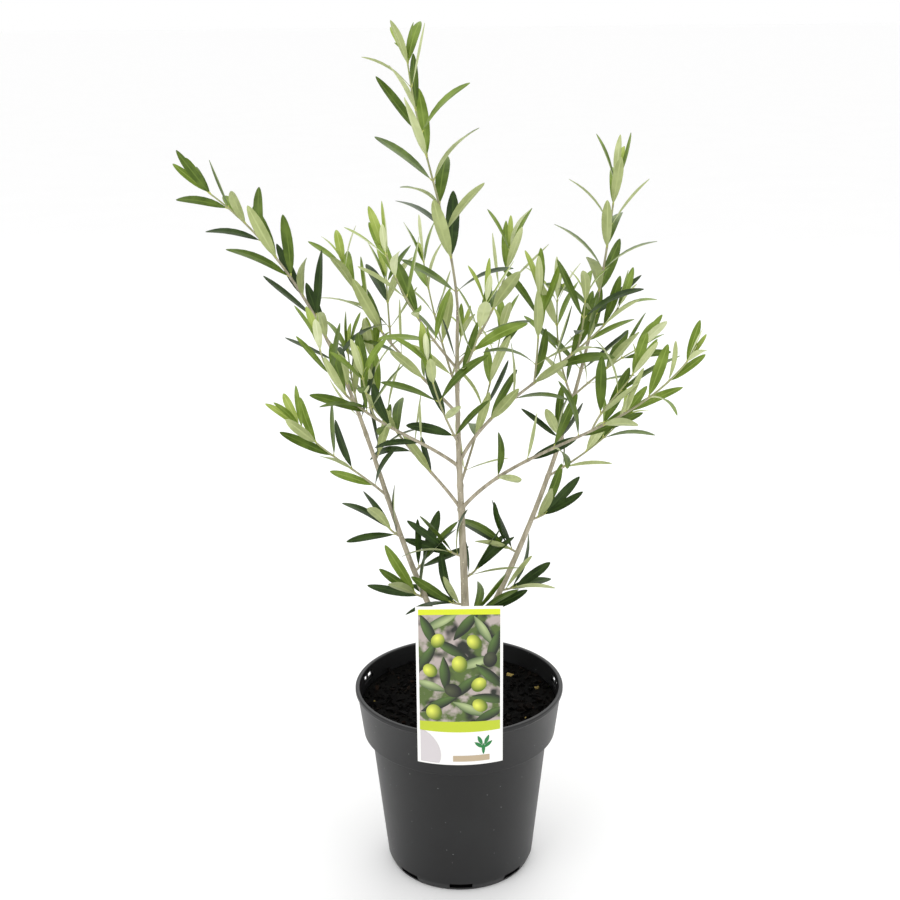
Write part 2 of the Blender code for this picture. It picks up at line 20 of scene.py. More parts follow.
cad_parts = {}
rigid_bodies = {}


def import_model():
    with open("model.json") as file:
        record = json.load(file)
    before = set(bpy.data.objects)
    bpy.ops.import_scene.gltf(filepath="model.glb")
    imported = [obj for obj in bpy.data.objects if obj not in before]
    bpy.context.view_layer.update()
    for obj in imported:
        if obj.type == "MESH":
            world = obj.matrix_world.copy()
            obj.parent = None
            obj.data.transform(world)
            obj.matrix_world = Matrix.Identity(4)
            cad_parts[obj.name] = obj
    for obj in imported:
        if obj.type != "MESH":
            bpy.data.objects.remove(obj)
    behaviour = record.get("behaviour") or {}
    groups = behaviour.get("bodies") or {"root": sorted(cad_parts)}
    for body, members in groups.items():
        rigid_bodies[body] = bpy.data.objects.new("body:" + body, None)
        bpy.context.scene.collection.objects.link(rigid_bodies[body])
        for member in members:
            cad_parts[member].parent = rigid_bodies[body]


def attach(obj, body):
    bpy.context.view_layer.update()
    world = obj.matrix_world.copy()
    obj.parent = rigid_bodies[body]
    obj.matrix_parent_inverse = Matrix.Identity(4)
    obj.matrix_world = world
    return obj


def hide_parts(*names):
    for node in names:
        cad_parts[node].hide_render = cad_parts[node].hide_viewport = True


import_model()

LOG = logging.getLogger("olive")
BODY = "root"
MILLIMETRE = 0.001
Profile = list[tuple[float, float]]
Run = list[tuple[Vector, float]]
Colour = tuple[float, float, float, float]


# Working helpers

def linear(hex_colour: str) -> Colour:
    """Turns an sRGB hex colour into linear red, green, blue and alpha.

    Args:
        hex_colour: Six hex digits after a hash.

    Returns:
        The colour as a material socket takes it.
    """
    channels = [int(hex_colour[start:start + 2], 16) / 255 for start in (1, 3, 5)]
    straight = [c / 12.92 if c <= 0.04045 else ((c + 0.055) / 1.055) ** 2.4 for c in channels]
    return (straight[0], straight[1], straight[2], 1.0)


def add_node(tree: bpy.types.NodeTree, kind: str, settings: dict[Any, Any] | None = None,
             links: dict[Any, bpy.types.NodeSocket] | None = None) -> bpy.types.Node:
    """Adds a node with its settings and links.

    Args:
        tree: The material's node tree.
        kind: The node's type name.
        settings: Values by input name or number, or by property name.
        links: Output sockets by the input that each one feeds.

    Returns:
        The node.
    """
    node = tree.nodes.new(kind)
    for key, value in (settings or {}).items():
        if isinstance(key, int) or key in node.inputs:
            node.inputs[key].default_value = value
        else:
            setattr(node, key, value)
    for key, socket in (links or {}).items():
        tree.links.new(socket, node.inputs[key])
    return node


def deselect() -> None:
    """Goes to object mode with nothing selected."""
    if bpy.context.mode != "OBJECT":
        bpy.ops.object.mode_set(mode="OBJECT")
    bpy.ops.object.select_all(action="DESELECT")


def pick(*objects: bpy.types.Object) -> None:
    """Selects just these objects and makes the first one active."""
    deselect()
    for obj in objects:
        obj.select_set(True)
    bpy.context.view_layer.objects.active = objects[0]


def settle(obj: bpy.types.Object) -> None:
    """Moves an object's place, turn and size into its mesh."""
    pick(obj)
    bpy.ops.object.transform_apply(location=True, rotation=True, scale=True)


def apply_modifier(obj: bpy.types.Object, kind: str, **values: Any) -> None:
    """Adds a modifier with its values and applies it.

    Args:
        obj: The piece.
        kind: The modifier's type name.
        values: The modifier's properties.
    """
    pick(obj)
    modifier = obj.modifiers.new(kind.lower(), kind)
    for key, value in values.items():
        setattr(modifier, key, value)
    bpy.ops.object.modifier_apply(modifier=modifier.name)


def join(name: str, pieces: Sequence[bpy.types.Object]) -> bpy.types.Object:
    """Joins pieces of one kind into one object.

    Args:
        name: The joined piece's name.
        pieces: The objects, which the first one takes in.

    Returns:
        The joined piece.
    """
    pick(*pieces)
    if len(pieces) > 1:
        bpy.ops.object.join()
    joined = bpy.context.view_layer.objects.active
    joined.name = name
    joined.data.name = name
    settle(joined)
    return joined


def twin(template: bpy.types.Object, place: Matrix) -> bpy.types.Object:
    """Copies a template with a mesh of its own, set at its place.

    Args:
        template: The shape that is modelled once.
        place: Where the copy goes, with its turn and size.

    Returns:
        The copy.
    """
    copy = template.copy()
    copy.data = template.data.copy()
    copy.data.transform(place)
    bpy.context.scene.collection.objects.link(copy)
    return copy


def discard(objects: Iterable[bpy.types.Object]) -> None:
    """Removes templates and helpers from the scene."""
    for obj in list(objects):
        bpy.data.objects.remove(obj, do_unlink=True)


def point_chain(name: str, points: Profile) -> bpy.types.Object:
    """Extrudes one vertex along a profile in the XZ plane.

    Args:
        name: The object's name.
        points: Radius and height of each point.

    Returns:
        The chain, still in edit mode with all of it selected.
    """
    deselect()
    bpy.ops.mesh.primitive_plane_add(size=MILLIMETRE, location=(points[0][0], 0, points[0][1]))
    chain = bpy.context.object
    chain.name = name
    bpy.ops.object.mode_set(mode="EDIT")
    bpy.ops.mesh.select_all(action="SELECT")
    bpy.ops.mesh.merge(type="CENTER")
    for (radius, height), (next_radius, next_height) in zip(points, points[1:]):
        step = (next_radius - radius, 0, next_height - height)
        bpy.ops.mesh.extrude_region_move(TRANSFORM_OT_translate={"value": step})
    bpy.ops.mesh.select_all(action="SELECT")
    return chain


def turn(name: str, points: Profile, steps: int, smooth_angle: float = 32) -> bpy.types.Object:
    """Spins a profile about the Z axis into a closed shell.

    Args:
        name: The object's name.
        points: Radius and height of each point, from the axis round to the axis.
        steps: How many steps a full turn has.
        smooth_angle: Edges sharper than this, in degrees, stay crisp.

    Returns:
        The turned piece.
    """
    piece = point_chain(name, points)
    bpy.ops.mesh.spin(steps=steps, angle=2 * math.pi, center=(0, 0, 0), axis=(0, 0, 1))
    bpy.ops.mesh.select_all(action="SELECT")
    bpy.ops.mesh.remove_doubles(threshold=0.000002)
    bpy.ops.mesh.normals_make_consistent(inside=False)
    bpy.ops.object.mode_set(mode="OBJECT")
    settle(piece)
    bpy.ops.object.shade_smooth_by_angle(angle=math.radians(smooth_angle))
    return piece


def arc(centre: tuple[float, float], radius: float, start: float, end: float, steps: int) -> Profile:
    """Points on an arc, for a profile's rounded edge.

    Args:
        centre: The arc's centre as radius and height.
        radius: The arc's own radius.
        start: The first point's angle in degrees, from outwards, anticlockwise.
        end: The last point's angle in degrees.
        steps: How many steps the arc has.

    Returns:
        The points, both ends counted.
    """
    angles = [math.radians(start + (end - start) * step / steps) for step in range(steps + 1)]
    return [(centre[0] + radius * math.cos(a), centre[1] + radius * math.sin(a)) for a in angles]


def keep(piece: bpy.types.Object, slot: str, *nodes: str) -> bpy.types.Object:
    """Rides a finished piece on the body and hides the nodes that it stands for.

    Args:
        piece: The finished piece.
        slot: The name of a material slot; not used.
        nodes: The solids that it replaces.

    Returns:
        The piece.
    """
    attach(piece, BODY)
    if nodes:
        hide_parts(*nodes)
    LOG.info("%s: %d faces, for %s", piece.name, len(piece.data.polygons), ", ".join(nodes) or "detail")
    return piece


# Finishes

@dataclass(frozen=True)
class Finish:
    """What every finish shares: a name, a base colour, and its shader's fixed values."""

    name: str
    colour: str
    roughness: float
    ior: float = 1.5

    def start(self) -> tuple[bpy.types.Material, bpy.types.Node, bpy.types.NodeSocket]:
        """Starts the material.

        Returns:
            The material, its shader and the object coordinates that its patterns read.
        """
        made = bpy.data.materials.new(self.name)
        made.use_nodes = True
        shader = made.node_tree.nodes["Principled BSDF"]
        shader.inputs["Base Color"].default_value = linear(self.colour)
        shader.inputs["Roughness"].default_value = self.roughness
        shader.inputs["IOR"].default_value = self.ior
        place = add_node(made.node_tree, "ShaderNodeTexCoord").outputs["Object"]
        return made, shader, place

    def mottle(self, tree: bpy.types.NodeTree, place: bpy.types.NodeSocket, size: float,
               other: str, share: tuple[float, float]) -> bpy.types.NodeSocket:
        """Mixes the base colour with another in soft patches.

        Args:
            tree: The node tree.
            place: Coordinates in metres.
            size: A patch's size in metres.
            other: The patches' sRGB hex colour.
            share: The noise values between which a patch fades in.

        Returns:
            The mixed colour.
        """
        noise = add_node(tree, "ShaderNodeTexNoise", {"Scale": 1 / size, "Detail": 3.0}, {"Vector": place})
        fade = add_node(tree, "ShaderNodeMapRange",
                        {"From Min": share[0], "From Max": share[1]}, {"Value": noise.outputs["Fac"]})
        mixed = add_node(tree, "ShaderNodeMix",
                         {"data_type": "RGBA", 6: linear(self.colour), 7: linear(other)},
                         {0: fade.outputs["Result"]})
        return mixed.outputs[2]

    def grain(self, tree: bpy.types.NodeTree, shader: bpy.types.Node, place: bpy.types.NodeSocket,
              size: float, depth: float, detail: float = 2.0) -> None:
        """Gives the surface a fine bump.

        Args:
            tree: The node tree.
            shader: The surface shader.
            place: Coordinates in metres.
            size: The grain's size in metres.
            depth: The grain's height in metres.
            detail: How many finer octaves lie on it.
        """
        noise = add_node(tree, "ShaderNodeTexNoise", {"Scale": 1 / size, "Detail": detail},
                         {"Vector": place})
        bump = add_node(tree, "ShaderNodeBump", {"Strength": 1.0, "Distance": depth},
                        {"Height": noise.outputs["Fac"]})
        tree.links.new(bump.outputs["Normal"], shader.inputs["Normal"])


@dataclass(frozen=True)
class MouldedPolypropylene(Finish):
    """Black recycled polypropylene, injection moulded: satin, with a haze of dust and pale specks."""

    haze: str = "#161718"
    haze_size: float = 0.045
    dust: str = "#6d6f6e"
    dust_spacing: float = 0.0065
    dust_radius: float = 0.07
    grain_size: float = 0.0007
    grain_depth: float = 0.00003

    def make(self) -> bpy.types.Material:
        """Builds the material."""
        made, shader, place = self.start()
        tree = made.node_tree
        hazed = self.mottle(tree, place, self.haze_size, self.haze, (0.42, 0.78))
        # Specks of dust lie a few millimetres apart, and only some of the cells hold one
        cells = add_node(tree, "ShaderNodeTexVoronoi", {"Scale": 1 / self.dust_spacing}, {"Vector": place})
        near = add_node(tree, "ShaderNodeMath", {"operation": "LESS_THAN", 1: self.dust_radius},
                        {0: cells.outputs["Distance"]})
        pick_cell = add_node(tree, "ShaderNodeSeparateColor", {}, {"Color": cells.outputs["Color"]})
        chosen = add_node(tree, "ShaderNodeMath", {"operation": "GREATER_THAN", 1: 0.72},
                          {0: pick_cell.outputs["Red"]})
        speck = add_node(tree, "ShaderNodeMath", {"operation": "MULTIPLY"},
                         {0: near.outputs[0], 1: chosen.outputs[0]})
        dusty = add_node(tree, "ShaderNodeMix", {"data_type": "RGBA", 7: linear(self.dust)},
                         {0: speck.outputs[0], 6: hazed})
        tree.links.new(dusty.outputs[2], shader.inputs["Base Color"])
        rub = add_node(tree, "ShaderNodeTexNoise", {"Scale": 1 / self.haze_size, "Detail": 6.0},
                       {"Vector": place})
        dull = add_node(tree, "ShaderNodeMapRange",
                        {"To Min": self.roughness - 0.06, "To Max": self.roughness + 0.10},
                        {"Value": rub.outputs["Fac"]})
        tree.links.new(dull.outputs["Result"], shader.inputs["Roughness"])
        self.grain(tree, shader, place, self.grain_size, self.grain_depth)
        return made


@dataclass(frozen=True)
class CompostedBark(Finish):
    """Damp composted bark: near black, matt and crumbly."""

    gloss: float = 0.25
    crumb: str = "#0c0907"
    crumb_size: float = 0.003
    grain_depth: float = 0.0006

    def make(self) -> bpy.types.Material:
        """Builds the material."""
        made, shader, place = self.start()
        tree = made.node_tree
        shader.inputs["Specular IOR Level"].default_value = self.gloss
        patches = self.mottle(tree, place, self.crumb_size, self.crumb, (0.45, 0.70))
        tree.links.new(patches, shader.inputs["Base Color"])
        self.grain(tree, shader, place, self.crumb_size / 2, self.grain_depth, 4.0)
        return made


@dataclass(frozen=True)
class OliveBark(Finish):
    """Young olive bark, grown: smooth and grey-beige with pale pores when old, pale green when young.

    The mesh carries how old its wood is as the attribute age, from 0 on a green twig to 1 on the trunk.
    """

    young: str = "#a3ab6e"
    weathered: str = "#8f8773"
    streak_size: float = 0.0035
    pore: str = "#cfc6b0"
    pore_spacing: float = 0.0042
    grain_depth: float = 0.00022

    def make(self) -> bpy.types.Material:
        """Builds the material."""
        made, shader, place = self.start()
        tree = made.node_tree
        # Streaks run up the stem, so the pattern is drawn out along Z
        stretched = add_node(tree, "ShaderNodeMapping", {"Scale": (1.0, 1.0, 0.22)}, {"Vector": place})
        streaked = self.mottle(tree, stretched.outputs["Vector"], self.streak_size, self.weathered,
                               (0.38, 0.68))
        cells = add_node(tree, "ShaderNodeTexVoronoi", {"Scale": 1 / self.pore_spacing}, {"Vector": place})
        near = add_node(tree, "ShaderNodeMapRange",
                        {"From Min": 0.10, "From Max": 0.17, "To Min": 1.0, "To Max": 0.0},
                        {"Value": cells.outputs["Distance"]})
        pored = add_node(tree, "ShaderNodeMix", {"data_type": "RGBA", 7: linear(self.pore)},
                         {0: near.outputs["Result"], 6: streaked})
        age = add_node(tree, "ShaderNodeAttribute", {"attribute_name": "age"})
        aged = add_node(tree, "ShaderNodeMix", {"data_type": "RGBA", 6: linear(self.young)},
                        {0: age.outputs["Fac"], 7: pored.outputs[2]})
        tree.links.new(aged.outputs[2], shader.inputs["Base Color"])
        self.grain(tree, shader, stretched.outputs["Vector"], self.streak_size / 3, self.grain_depth, 3.0)
        return made


@dataclass(frozen=True)
class LeafFace(Finish):
    """One face of an olive leaf: a thick cuticle above, and a felt of pale scales below."""

    sheen: float = 0.0
    gloss: float = 0.28
    fleck: str = ""
    fleck_size: float = 0.014

    def make(self) -> bpy.types.Material:
        """Builds the material."""
        made, shader, place = self.start()
        tree = made.node_tree
        shader.inputs["Sheen Weight"].default_value = self.sheen
        # A fine wax bloom takes off most of the cuticle's mirror gloss
        shader.inputs["Specular IOR Level"].default_value = self.gloss
        if self.fleck:
            mottled = self.mottle(tree, place, self.fleck_size, self.fleck, (0.38, 0.72))
            tree.links.new(mottled, shader.inputs["Base Color"])
        self.grain(tree, shader, place, 0.0009, 0.00004)
        return made


@dataclass(frozen=True)
class CoatedCard(Finish):
    """White polypropylene label stock, calendered: smooth and slightly glossy."""

    def make(self) -> bpy.types.Material:
        """Builds the material."""
        made, shader, place = self.start()
        self.grain(made.node_tree, shader, place, 0.0015, 0.000012)
        return made


@dataclass(frozen=True)
class PrintedTone(Finish):
    """Offset ink on the card: one even tone under the card's gloss, with a faint unevenness."""

    other: str = ""
    third: str = ""
    blotch_size: float = 0.012
    share: tuple[float, float] = (0.40, 0.66)

    def make(self) -> bpy.types.Material:
        """Builds the material."""
        made, shader, place = self.start()
        tree = made.node_tree
        if self.other:
            tone = self.mottle(tree, place, self.blotch_size, self.other, self.share)
            if self.third:
                # The darkest blotches lie out of step with the first ones
                moved = add_node(tree, "ShaderNodeMapping", {"Location": (0.31, 0.17, 0.43)}, {"Vector": place})
                noise = add_node(tree, "ShaderNodeTexNoise", {"Scale": 0.8 / self.blotch_size, "Detail": 1.5},
                                 {"Vector": moved.outputs["Vector"]})
                fade = add_node(tree, "ShaderNodeMapRange", {"From Min": 0.52, "From Max": 0.64},
                                {"Value": noise.outputs["Fac"]})
                tone = add_node(tree, "ShaderNodeMix", {"data_type": "RGBA", 7: linear(self.third)},
                                {0: fade.outputs["Result"], 6: tone}).outputs[2]
            tree.links.new(tone, shader.inputs["Base Color"])
        self.grain(tree, shader, place, 0.0015, 0.000012)
        return made


@dataclass(frozen=True)
class PrintedMotif(Finish):
    """A printed shape that is lit across its own UV map, from a bright side to a dark one."""

    bright: str = "#ffffff"
    lit_from: tuple[float, float] = (0.36, 0.66)
    reach: float = 0.62

    def make(self) -> bpy.types.Material:
        """Builds the material."""
        made, shader, place = self.start()
        tree = made.node_tree
        spot = add_node(tree, "ShaderNodeUVMap")
        away = add_node(tree, "ShaderNodeVectorMath",
                        {"operation": "DISTANCE", 1: (self.lit_from[0], self.lit_from[1], 0.0)},
                        {0: spot.outputs["UV"]})
        fade = add_node(tree, "ShaderNodeMapRange",
                        {"From Min": 0.04, "From Max": self.reach, "To Min": 1.0, "To Max": 0.0},
                        {"Value": away.outputs["Value"]})
        toned = add_node(tree, "ShaderNodeMix",
                         {"data_type": "RGBA", 6: linear(self.colour), 7: linear(self.bright)},
                         {0: fade.outputs["Result"]})
        tree.links.new(toned.outputs[2], shader.inputs["Base Color"])
        self.grain(tree, shader, place, 0.0015, 0.000012)
        return made


@dataclass(frozen=True)
class StudioPaper(Finish):
    """A roll of white studio paper, matt, with the faintest mottle."""

    def make(self) -> bpy.types.Material:
        """Builds the material."""
        made, shader, place = self.start()
        mottled = self.mottle(made.node_tree, place, 0.30, "#fefefe", (0.3, 0.7))
        made.node_tree.links.new(mottled, shader.inputs["Base Color"])
        return made


# Pot

@dataclass
class NurseryPot:
    """The moulded pot: tapered wall, deep collar, rounded rim, hanger slots and drain holes."""

    height: float = 0.186
    rim_radius: float = 0.100
    rim_round: float = 0.0011
    lip_depth: float = 0.004
    collar_radius: float = 0.0982
    collar_foot_radius: float = 0.0928
    collar_depth: float = 0.047
    body_radius: float = 0.0855
    heel_radius: float = 0.0718
    heel_height: float = 0.008
    base_radius: float = 0.0672
    wall: float = 0.0022
    floor: float = 0.0026
    shoulder: float = 0.0058
    edge_round: float = 0.0009
    foot_ring: float = 0.058
    foot_groove: float = 0.0006
    steps: int = 160
    drain_holes: int = 8
    drain_size: tuple[float, float, float] = (0.016, 0.022, 0.0055)
    drain_height: float = 0.0030
    hanger_angles: tuple[float, ...] = (11, 160, 268)
    hanger_window: tuple[float, float] = (0.0078, 0.0042)
    hanger_frame: tuple[float, float, float] = (0.0022, 0.0205, 0.0080)
    hanger_drop: float = 0.0090
    finish: MouldedPolypropylene = field(default_factory=lambda: MouldedPolypropylene(
        "moulded_black_polypropylene", "#0e0e0f", 0.40, 1.44))

    @property
    def step(self) -> float:
        """The height of the collar's foot."""
        return self.height - self.collar_depth

    def inner_radius(self, height: float) -> float:
        """The inside radius at a height, as in the solids.

        Args:
            height: Height above the ground.

        Returns:
            The radius in metres.
        """
        if height < self.step:
            share = max((height - self.heel_height) / (self.step - self.heel_height), 0.0)
            return self.heel_radius - self.wall + (self.body_radius - self.heel_radius) * share
        share = (height - self.step) / self.collar_depth
        return self.collar_foot_radius - self.wall + (self.collar_radius - self.collar_foot_radius) * share

    def outline(self) -> Profile:
        """The wall's section, from the middle of the underside round to the middle of the floor."""
        soft = self.edge_round
        lip = self.height - self.lip_depth
        points: Profile = [(0.0, 0.0), (self.foot_ring - 0.004, 0.0)]
        points += [(self.foot_ring - 0.003, self.foot_groove), (self.foot_ring - 0.001, self.foot_groove)]
        points += [(self.foot_ring, 0.0)]
        points += arc((self.base_radius, 0.0016), 0.0016, -90, -36, 4)
        points += [(self.heel_radius - 0.0004, self.heel_height - 0.0012), (self.heel_radius, self.heel_height)]
        # Rings up the wall keep the cut-outs at the heel from reaching into its smooth length
        for height in (self.heel_height + 0.0030, self.heel_height + 0.0090, self.heel_height + 0.0400,
                       self.heel_height + 0.0800, self.step - 0.0010):
            share = (height - self.heel_height) / (self.step - 0.0010 - self.heel_height)
            points.append((self.heel_radius + (self.body_radius - self.heel_radius) * share, height))
        points += arc((self.collar_foot_radius - soft, self.step + soft), soft, -90, 0, 5)
        points += [(self.collar_radius - 0.0002, lip - 0.0022)]
        points += [(self.collar_radius + 0.0005, lip - 0.0008)]
        top = self.height - self.rim_round
        points += arc((self.rim_radius - self.rim_round, lip + 0.0008), self.rim_round, -60, 0, 3)
        points += arc((self.rim_radius - self.rim_round, top), self.rim_round, 0, 90, 6)
        inner = self.inner_radius(self.height)
        points += arc((inner + self.rim_round, top), self.rim_round, 100, 180, 5)
        ledge = self.step + self.wall
        points += [(self.inner_radius(ledge + 0.0012), ledge + 0.0012)]
        points += [(self.inner_radius(ledge) - 0.0012, ledge)]
        points += [(self.inner_radius(self.step) - self.shoulder, ledge)]
        points += [(self.inner_radius(self.heel_height), self.heel_height)]
        points += [(self.inner_radius(self.heel_height) - 0.0020, self.floor), (0.0, self.floor)]
        return points

    def block(self, size: tuple[float, float, float], radius: float, height: float,
              angle: float) -> bpy.types.Object:
        """A cutting block on the pot's wall.

        Args:
            size: Its size outwards, along the wall and upwards.
            radius: Its middle's distance from the axis.
            height: Its middle's height.
            angle: Where it stands round the pot, in degrees from +X.

        Returns:
            The block.
        """
        turned = math.radians(angle)
        deselect()
        bpy.ops.mesh.primitive_cube_add(
            size=1, location=(radius * math.cos(turned), radius * math.sin(turned), height),
            rotation=(0, 0, turned), scale=size)
        return bpy.context.object

    def cutters(self) -> bpy.types.Object:
        """The drain holes and the hangers' frames and windows, as one mesh of blocks."""
        blocks = []
        for hole in range(self.drain_holes):
            angle = -90 + 360 * hole / self.drain_holes
            middle = self.drain_height + self.drain_size[2] / 2
            blocks.append(self.block(self.drain_size, self.heel_radius, middle, angle))
        level = self.height - self.hanger_drop
        inside = self.inner_radius(level)
        for angle in self.hanger_angles:
            blocks.append(self.block(self.hanger_frame, inside, level, angle))
            for shift in (-2.9, 2.9):
                window = (self.wall * 3, self.hanger_window[0], self.hanger_window[1])
                blocks.append(self.block(window, inside + self.wall / 2, level, angle + shift))
        return join("pot_cutters", blocks)

    def build(self) -> None:
        """Turns the shell, cuts its openings and dresses it."""
        shell = turn("nursery_pot", self.outline(), self.steps)
        cutters = self.cutters()
        apply_modifier(shell, "BOOLEAN", operation="DIFFERENCE", solver="EXACT", object=cutters,
                       use_self=True)
        discard([cutters])
        pick(shell)
        bpy.ops.object.shade_smooth_by_angle(angle=math.radians(32))
        shell.data.materials.clear()
        shell.data.materials.append(self.finish.make())
        keep(shell, "pot_plastic", "pot")


# Potting mix

class Chip(Enum):
    """The kinds of bark chip in the mix, by sRGB colour."""

    CHARRED = "#060505"
    BROWN = "#100b08"
    RUST = "#21160f"
    STRAW = "#9c8850"


@dataclass
class PottingMix:
    """The mix that fills the pot: a crumbly bed with bark chips bedded in its top."""

    pot: NurseryPot
    top: float = 0.1680
    dish: float = 0.0030
    clear: float = 0.0006
    steps: int = 96
    rings: int = 44
    lump_size: float = 0.010
    lump_height: float = 0.0046
    crumb_size: float = 0.0030
    crumb_height: float = 0.0022
    chips: int = 1150
    chip_forms: int = 6
    chip_size: tuple[float, float] = (0.0022, 0.0068)
    chip_shares: tuple[float, ...] = (0.68, 0.24, 0.06, 0.02)
    seed: int = 71
    finish: CompostedBark = field(default_factory=lambda: CompostedBark(
        "composted_bark", "#040403", 0.95, 1.25))

    def bed(self) -> bpy.types.Object:
        """The bed, turned from its section and roughened with two displacements."""
        reach = self.pot.inner_radius(self.top) - self.clear
        heel = self.pot.inner_radius(self.pot.heel_height) - self.clear
        ledge = self.pot.step + self.pot.wall + self.clear
        points: Profile = [(0.0, self.pot.floor + self.clear), (heel - 0.0024, self.pot.floor + self.clear)]
        points += [(heel, self.pot.heel_height)]
        points += [(self.pot.inner_radius(self.pot.step) - self.pot.shoulder - self.clear, ledge)]
        points += [(self.pot.inner_radius(ledge) - 0.0016, ledge), (reach, self.top - 0.006)]
        for ring in range(self.rings + 1):
            radius = reach * (1 - ring / self.rings)
            points.append((radius, self.top - self.dish * math.sin(math.pi * radius / reach)))
        bed = turn("mix_bed", points, self.steps, 180)
        rim = bed.vertex_groups.new(name="top")
        raised = [v.index for v in bed.data.vertices
                  if v.co.z > self.top - 0.0045 and v.co.xy.length < reach - 0.002]
        rim.add(raised, 1.0, "REPLACE")
        for size, height in ((self.lump_size, self.lump_height), (self.crumb_size, self.crumb_height)):
            clouds = bpy.data.textures.new("mix_clouds", "CLOUDS")
            clouds.noise_scale = size
            apply_modifier(bed, "DISPLACE", texture=clouds, texture_coords="LOCAL", direction="Z",
                           strength=height, mid_level=0.5, vertex_group="top")
            bpy.data.textures.remove(clouds)
        return bed

    def chip_form(self, number: int, rng: random.Random) -> bpy.types.Object:
        """One chip: a cube cut across by random planes and flattened.

        Args:
            number: Which form it is.
            rng: The seeded source of its cuts.

        Returns:
            The chip, a unit across.
        """
        deselect()
        bpy.ops.mesh.primitive_cube_add(size=1, location=(0, 0, 0))
        chip = bpy.context.object
        chip.name = f"chip_form_{number}"
        bpy.ops.object.mode_set(mode="EDIT")
        for _ in range(3):
            bpy.ops.mesh.select_all(action="SELECT")
            normal = Vector((rng.uniform(-1, 1), rng.uniform(-1, 1), rng.uniform(-0.7, 0.7))).normalized()
            bpy.ops.mesh.bisect(plane_co=normal * rng.uniform(0.26, 0.44), plane_no=normal,
                                use_fill=True, clear_outer=True)
        bpy.ops.mesh.select_all(action="SELECT")
        bpy.ops.mesh.bevel(offset=0.05, segments=1, affect="EDGES")
        bpy.ops.mesh.select_all(action="SELECT")
        bpy.ops.transform.resize(value=(1.0, rng.uniform(0.45, 0.8), rng.uniform(0.22, 0.5)))
        bpy.ops.mesh.normals_make_consistent(inside=False)
        bpy.ops.object.mode_set(mode="OBJECT")
        settle(chip)
        return chip

    def scatter(self, bed: bpy.types.Object, finishes: list[bpy.types.Material]) -> bpy.types.Object:
        """The chips, bedded in the top of the mix.

        Args:
            bed: The finished bed, whose height each chip takes.
            finishes: One material for each kind of chip.

        Returns:
            All the chips as one piece.
        """
        rng = random.Random(self.seed)
        forms = [self.chip_form(number, rng) for number in range(self.chip_forms)]
        for form in forms:
            for finish in finishes:
                form.data.materials.append(finish)
        reach = self.pot.inner_radius(self.top) - 0.004
        heights = KDTree(len(bed.data.vertices))
        for vert in bed.data.vertices:
            heights.insert((vert.co.x, vert.co.y, 0.0 if vert.co.z > self.top - 0.012 else 1.0), vert.index)
        heights.balance()
        chips = []
        for _ in range(self.chips):
            radius = reach * math.sqrt(rng.random())
            angle = rng.uniform(0, 2 * math.pi)
            x, y = radius * math.cos(angle), radius * math.sin(angle)
            under = bed.data.vertices[heights.find((x, y, 0.0))[1]].co.z
            size = rng.uniform(*self.chip_size) * rng.choice((0.7, 1.0, 1.0, 1.3))
            turned = Matrix.Rotation(rng.uniform(0, 6.28), 4, "Z") @ Matrix.Rotation(
                rng.gauss(0, 0.5), 4, "X") @ Matrix.Rotation(rng.gauss(0, 0.4), 4, "Y")
            place = Matrix.Translation((x, y, under + size * 0.08)) @ turned @ Matrix.Scale(size, 4)
            chip = twin(rng.choice(forms), place)
            kind = rng.choices(range(len(finishes)), self.chip_shares)[0]
            chip.data.polygons.foreach_set("material_index", [kind] * len(chip.data.polygons))
            chips.append(chip)
        discard(forms)
        return join("bark_chips", chips)

    def build(self) -> None:
        """Fills the pot."""
        bed = self.bed()
        bed.data.materials.append(self.finish.make())
        keep(bed, "potting_mix", "potting_mix")
        finishes = [CompostedBark(f"bark_chip_{kind.name.lower()}", kind.value, 0.90, 1.25,
                                  crumb="#090706" if kind is not Chip.STRAW else "#6a5c36").make()
                    for kind in Chip]
        keep(self.scatter(bed, finishes), "potting_mix")


# Picture card

class Motif(Enum):
    """The shapes printed on the card."""

    DARK_LEAF = "dark_leaf"
    PALE_LEAF = "pale_leaf"
    GREEN_FRUIT = "green_fruit"
    BLACK_FRUIT = "black_fruit"
    FOOT_LEAF = "foot_leaf"
    FOOT_PATCH = "foot_patch"
    FOOT_BAR = "foot_bar"


@dataclass(frozen=True)
class Print:
    """One printed motif: what it is, where its middle is on the card, its turn, length and width."""

    kind: Motif
    x: float
    z: float
    turn: float
    length: float
    width: float


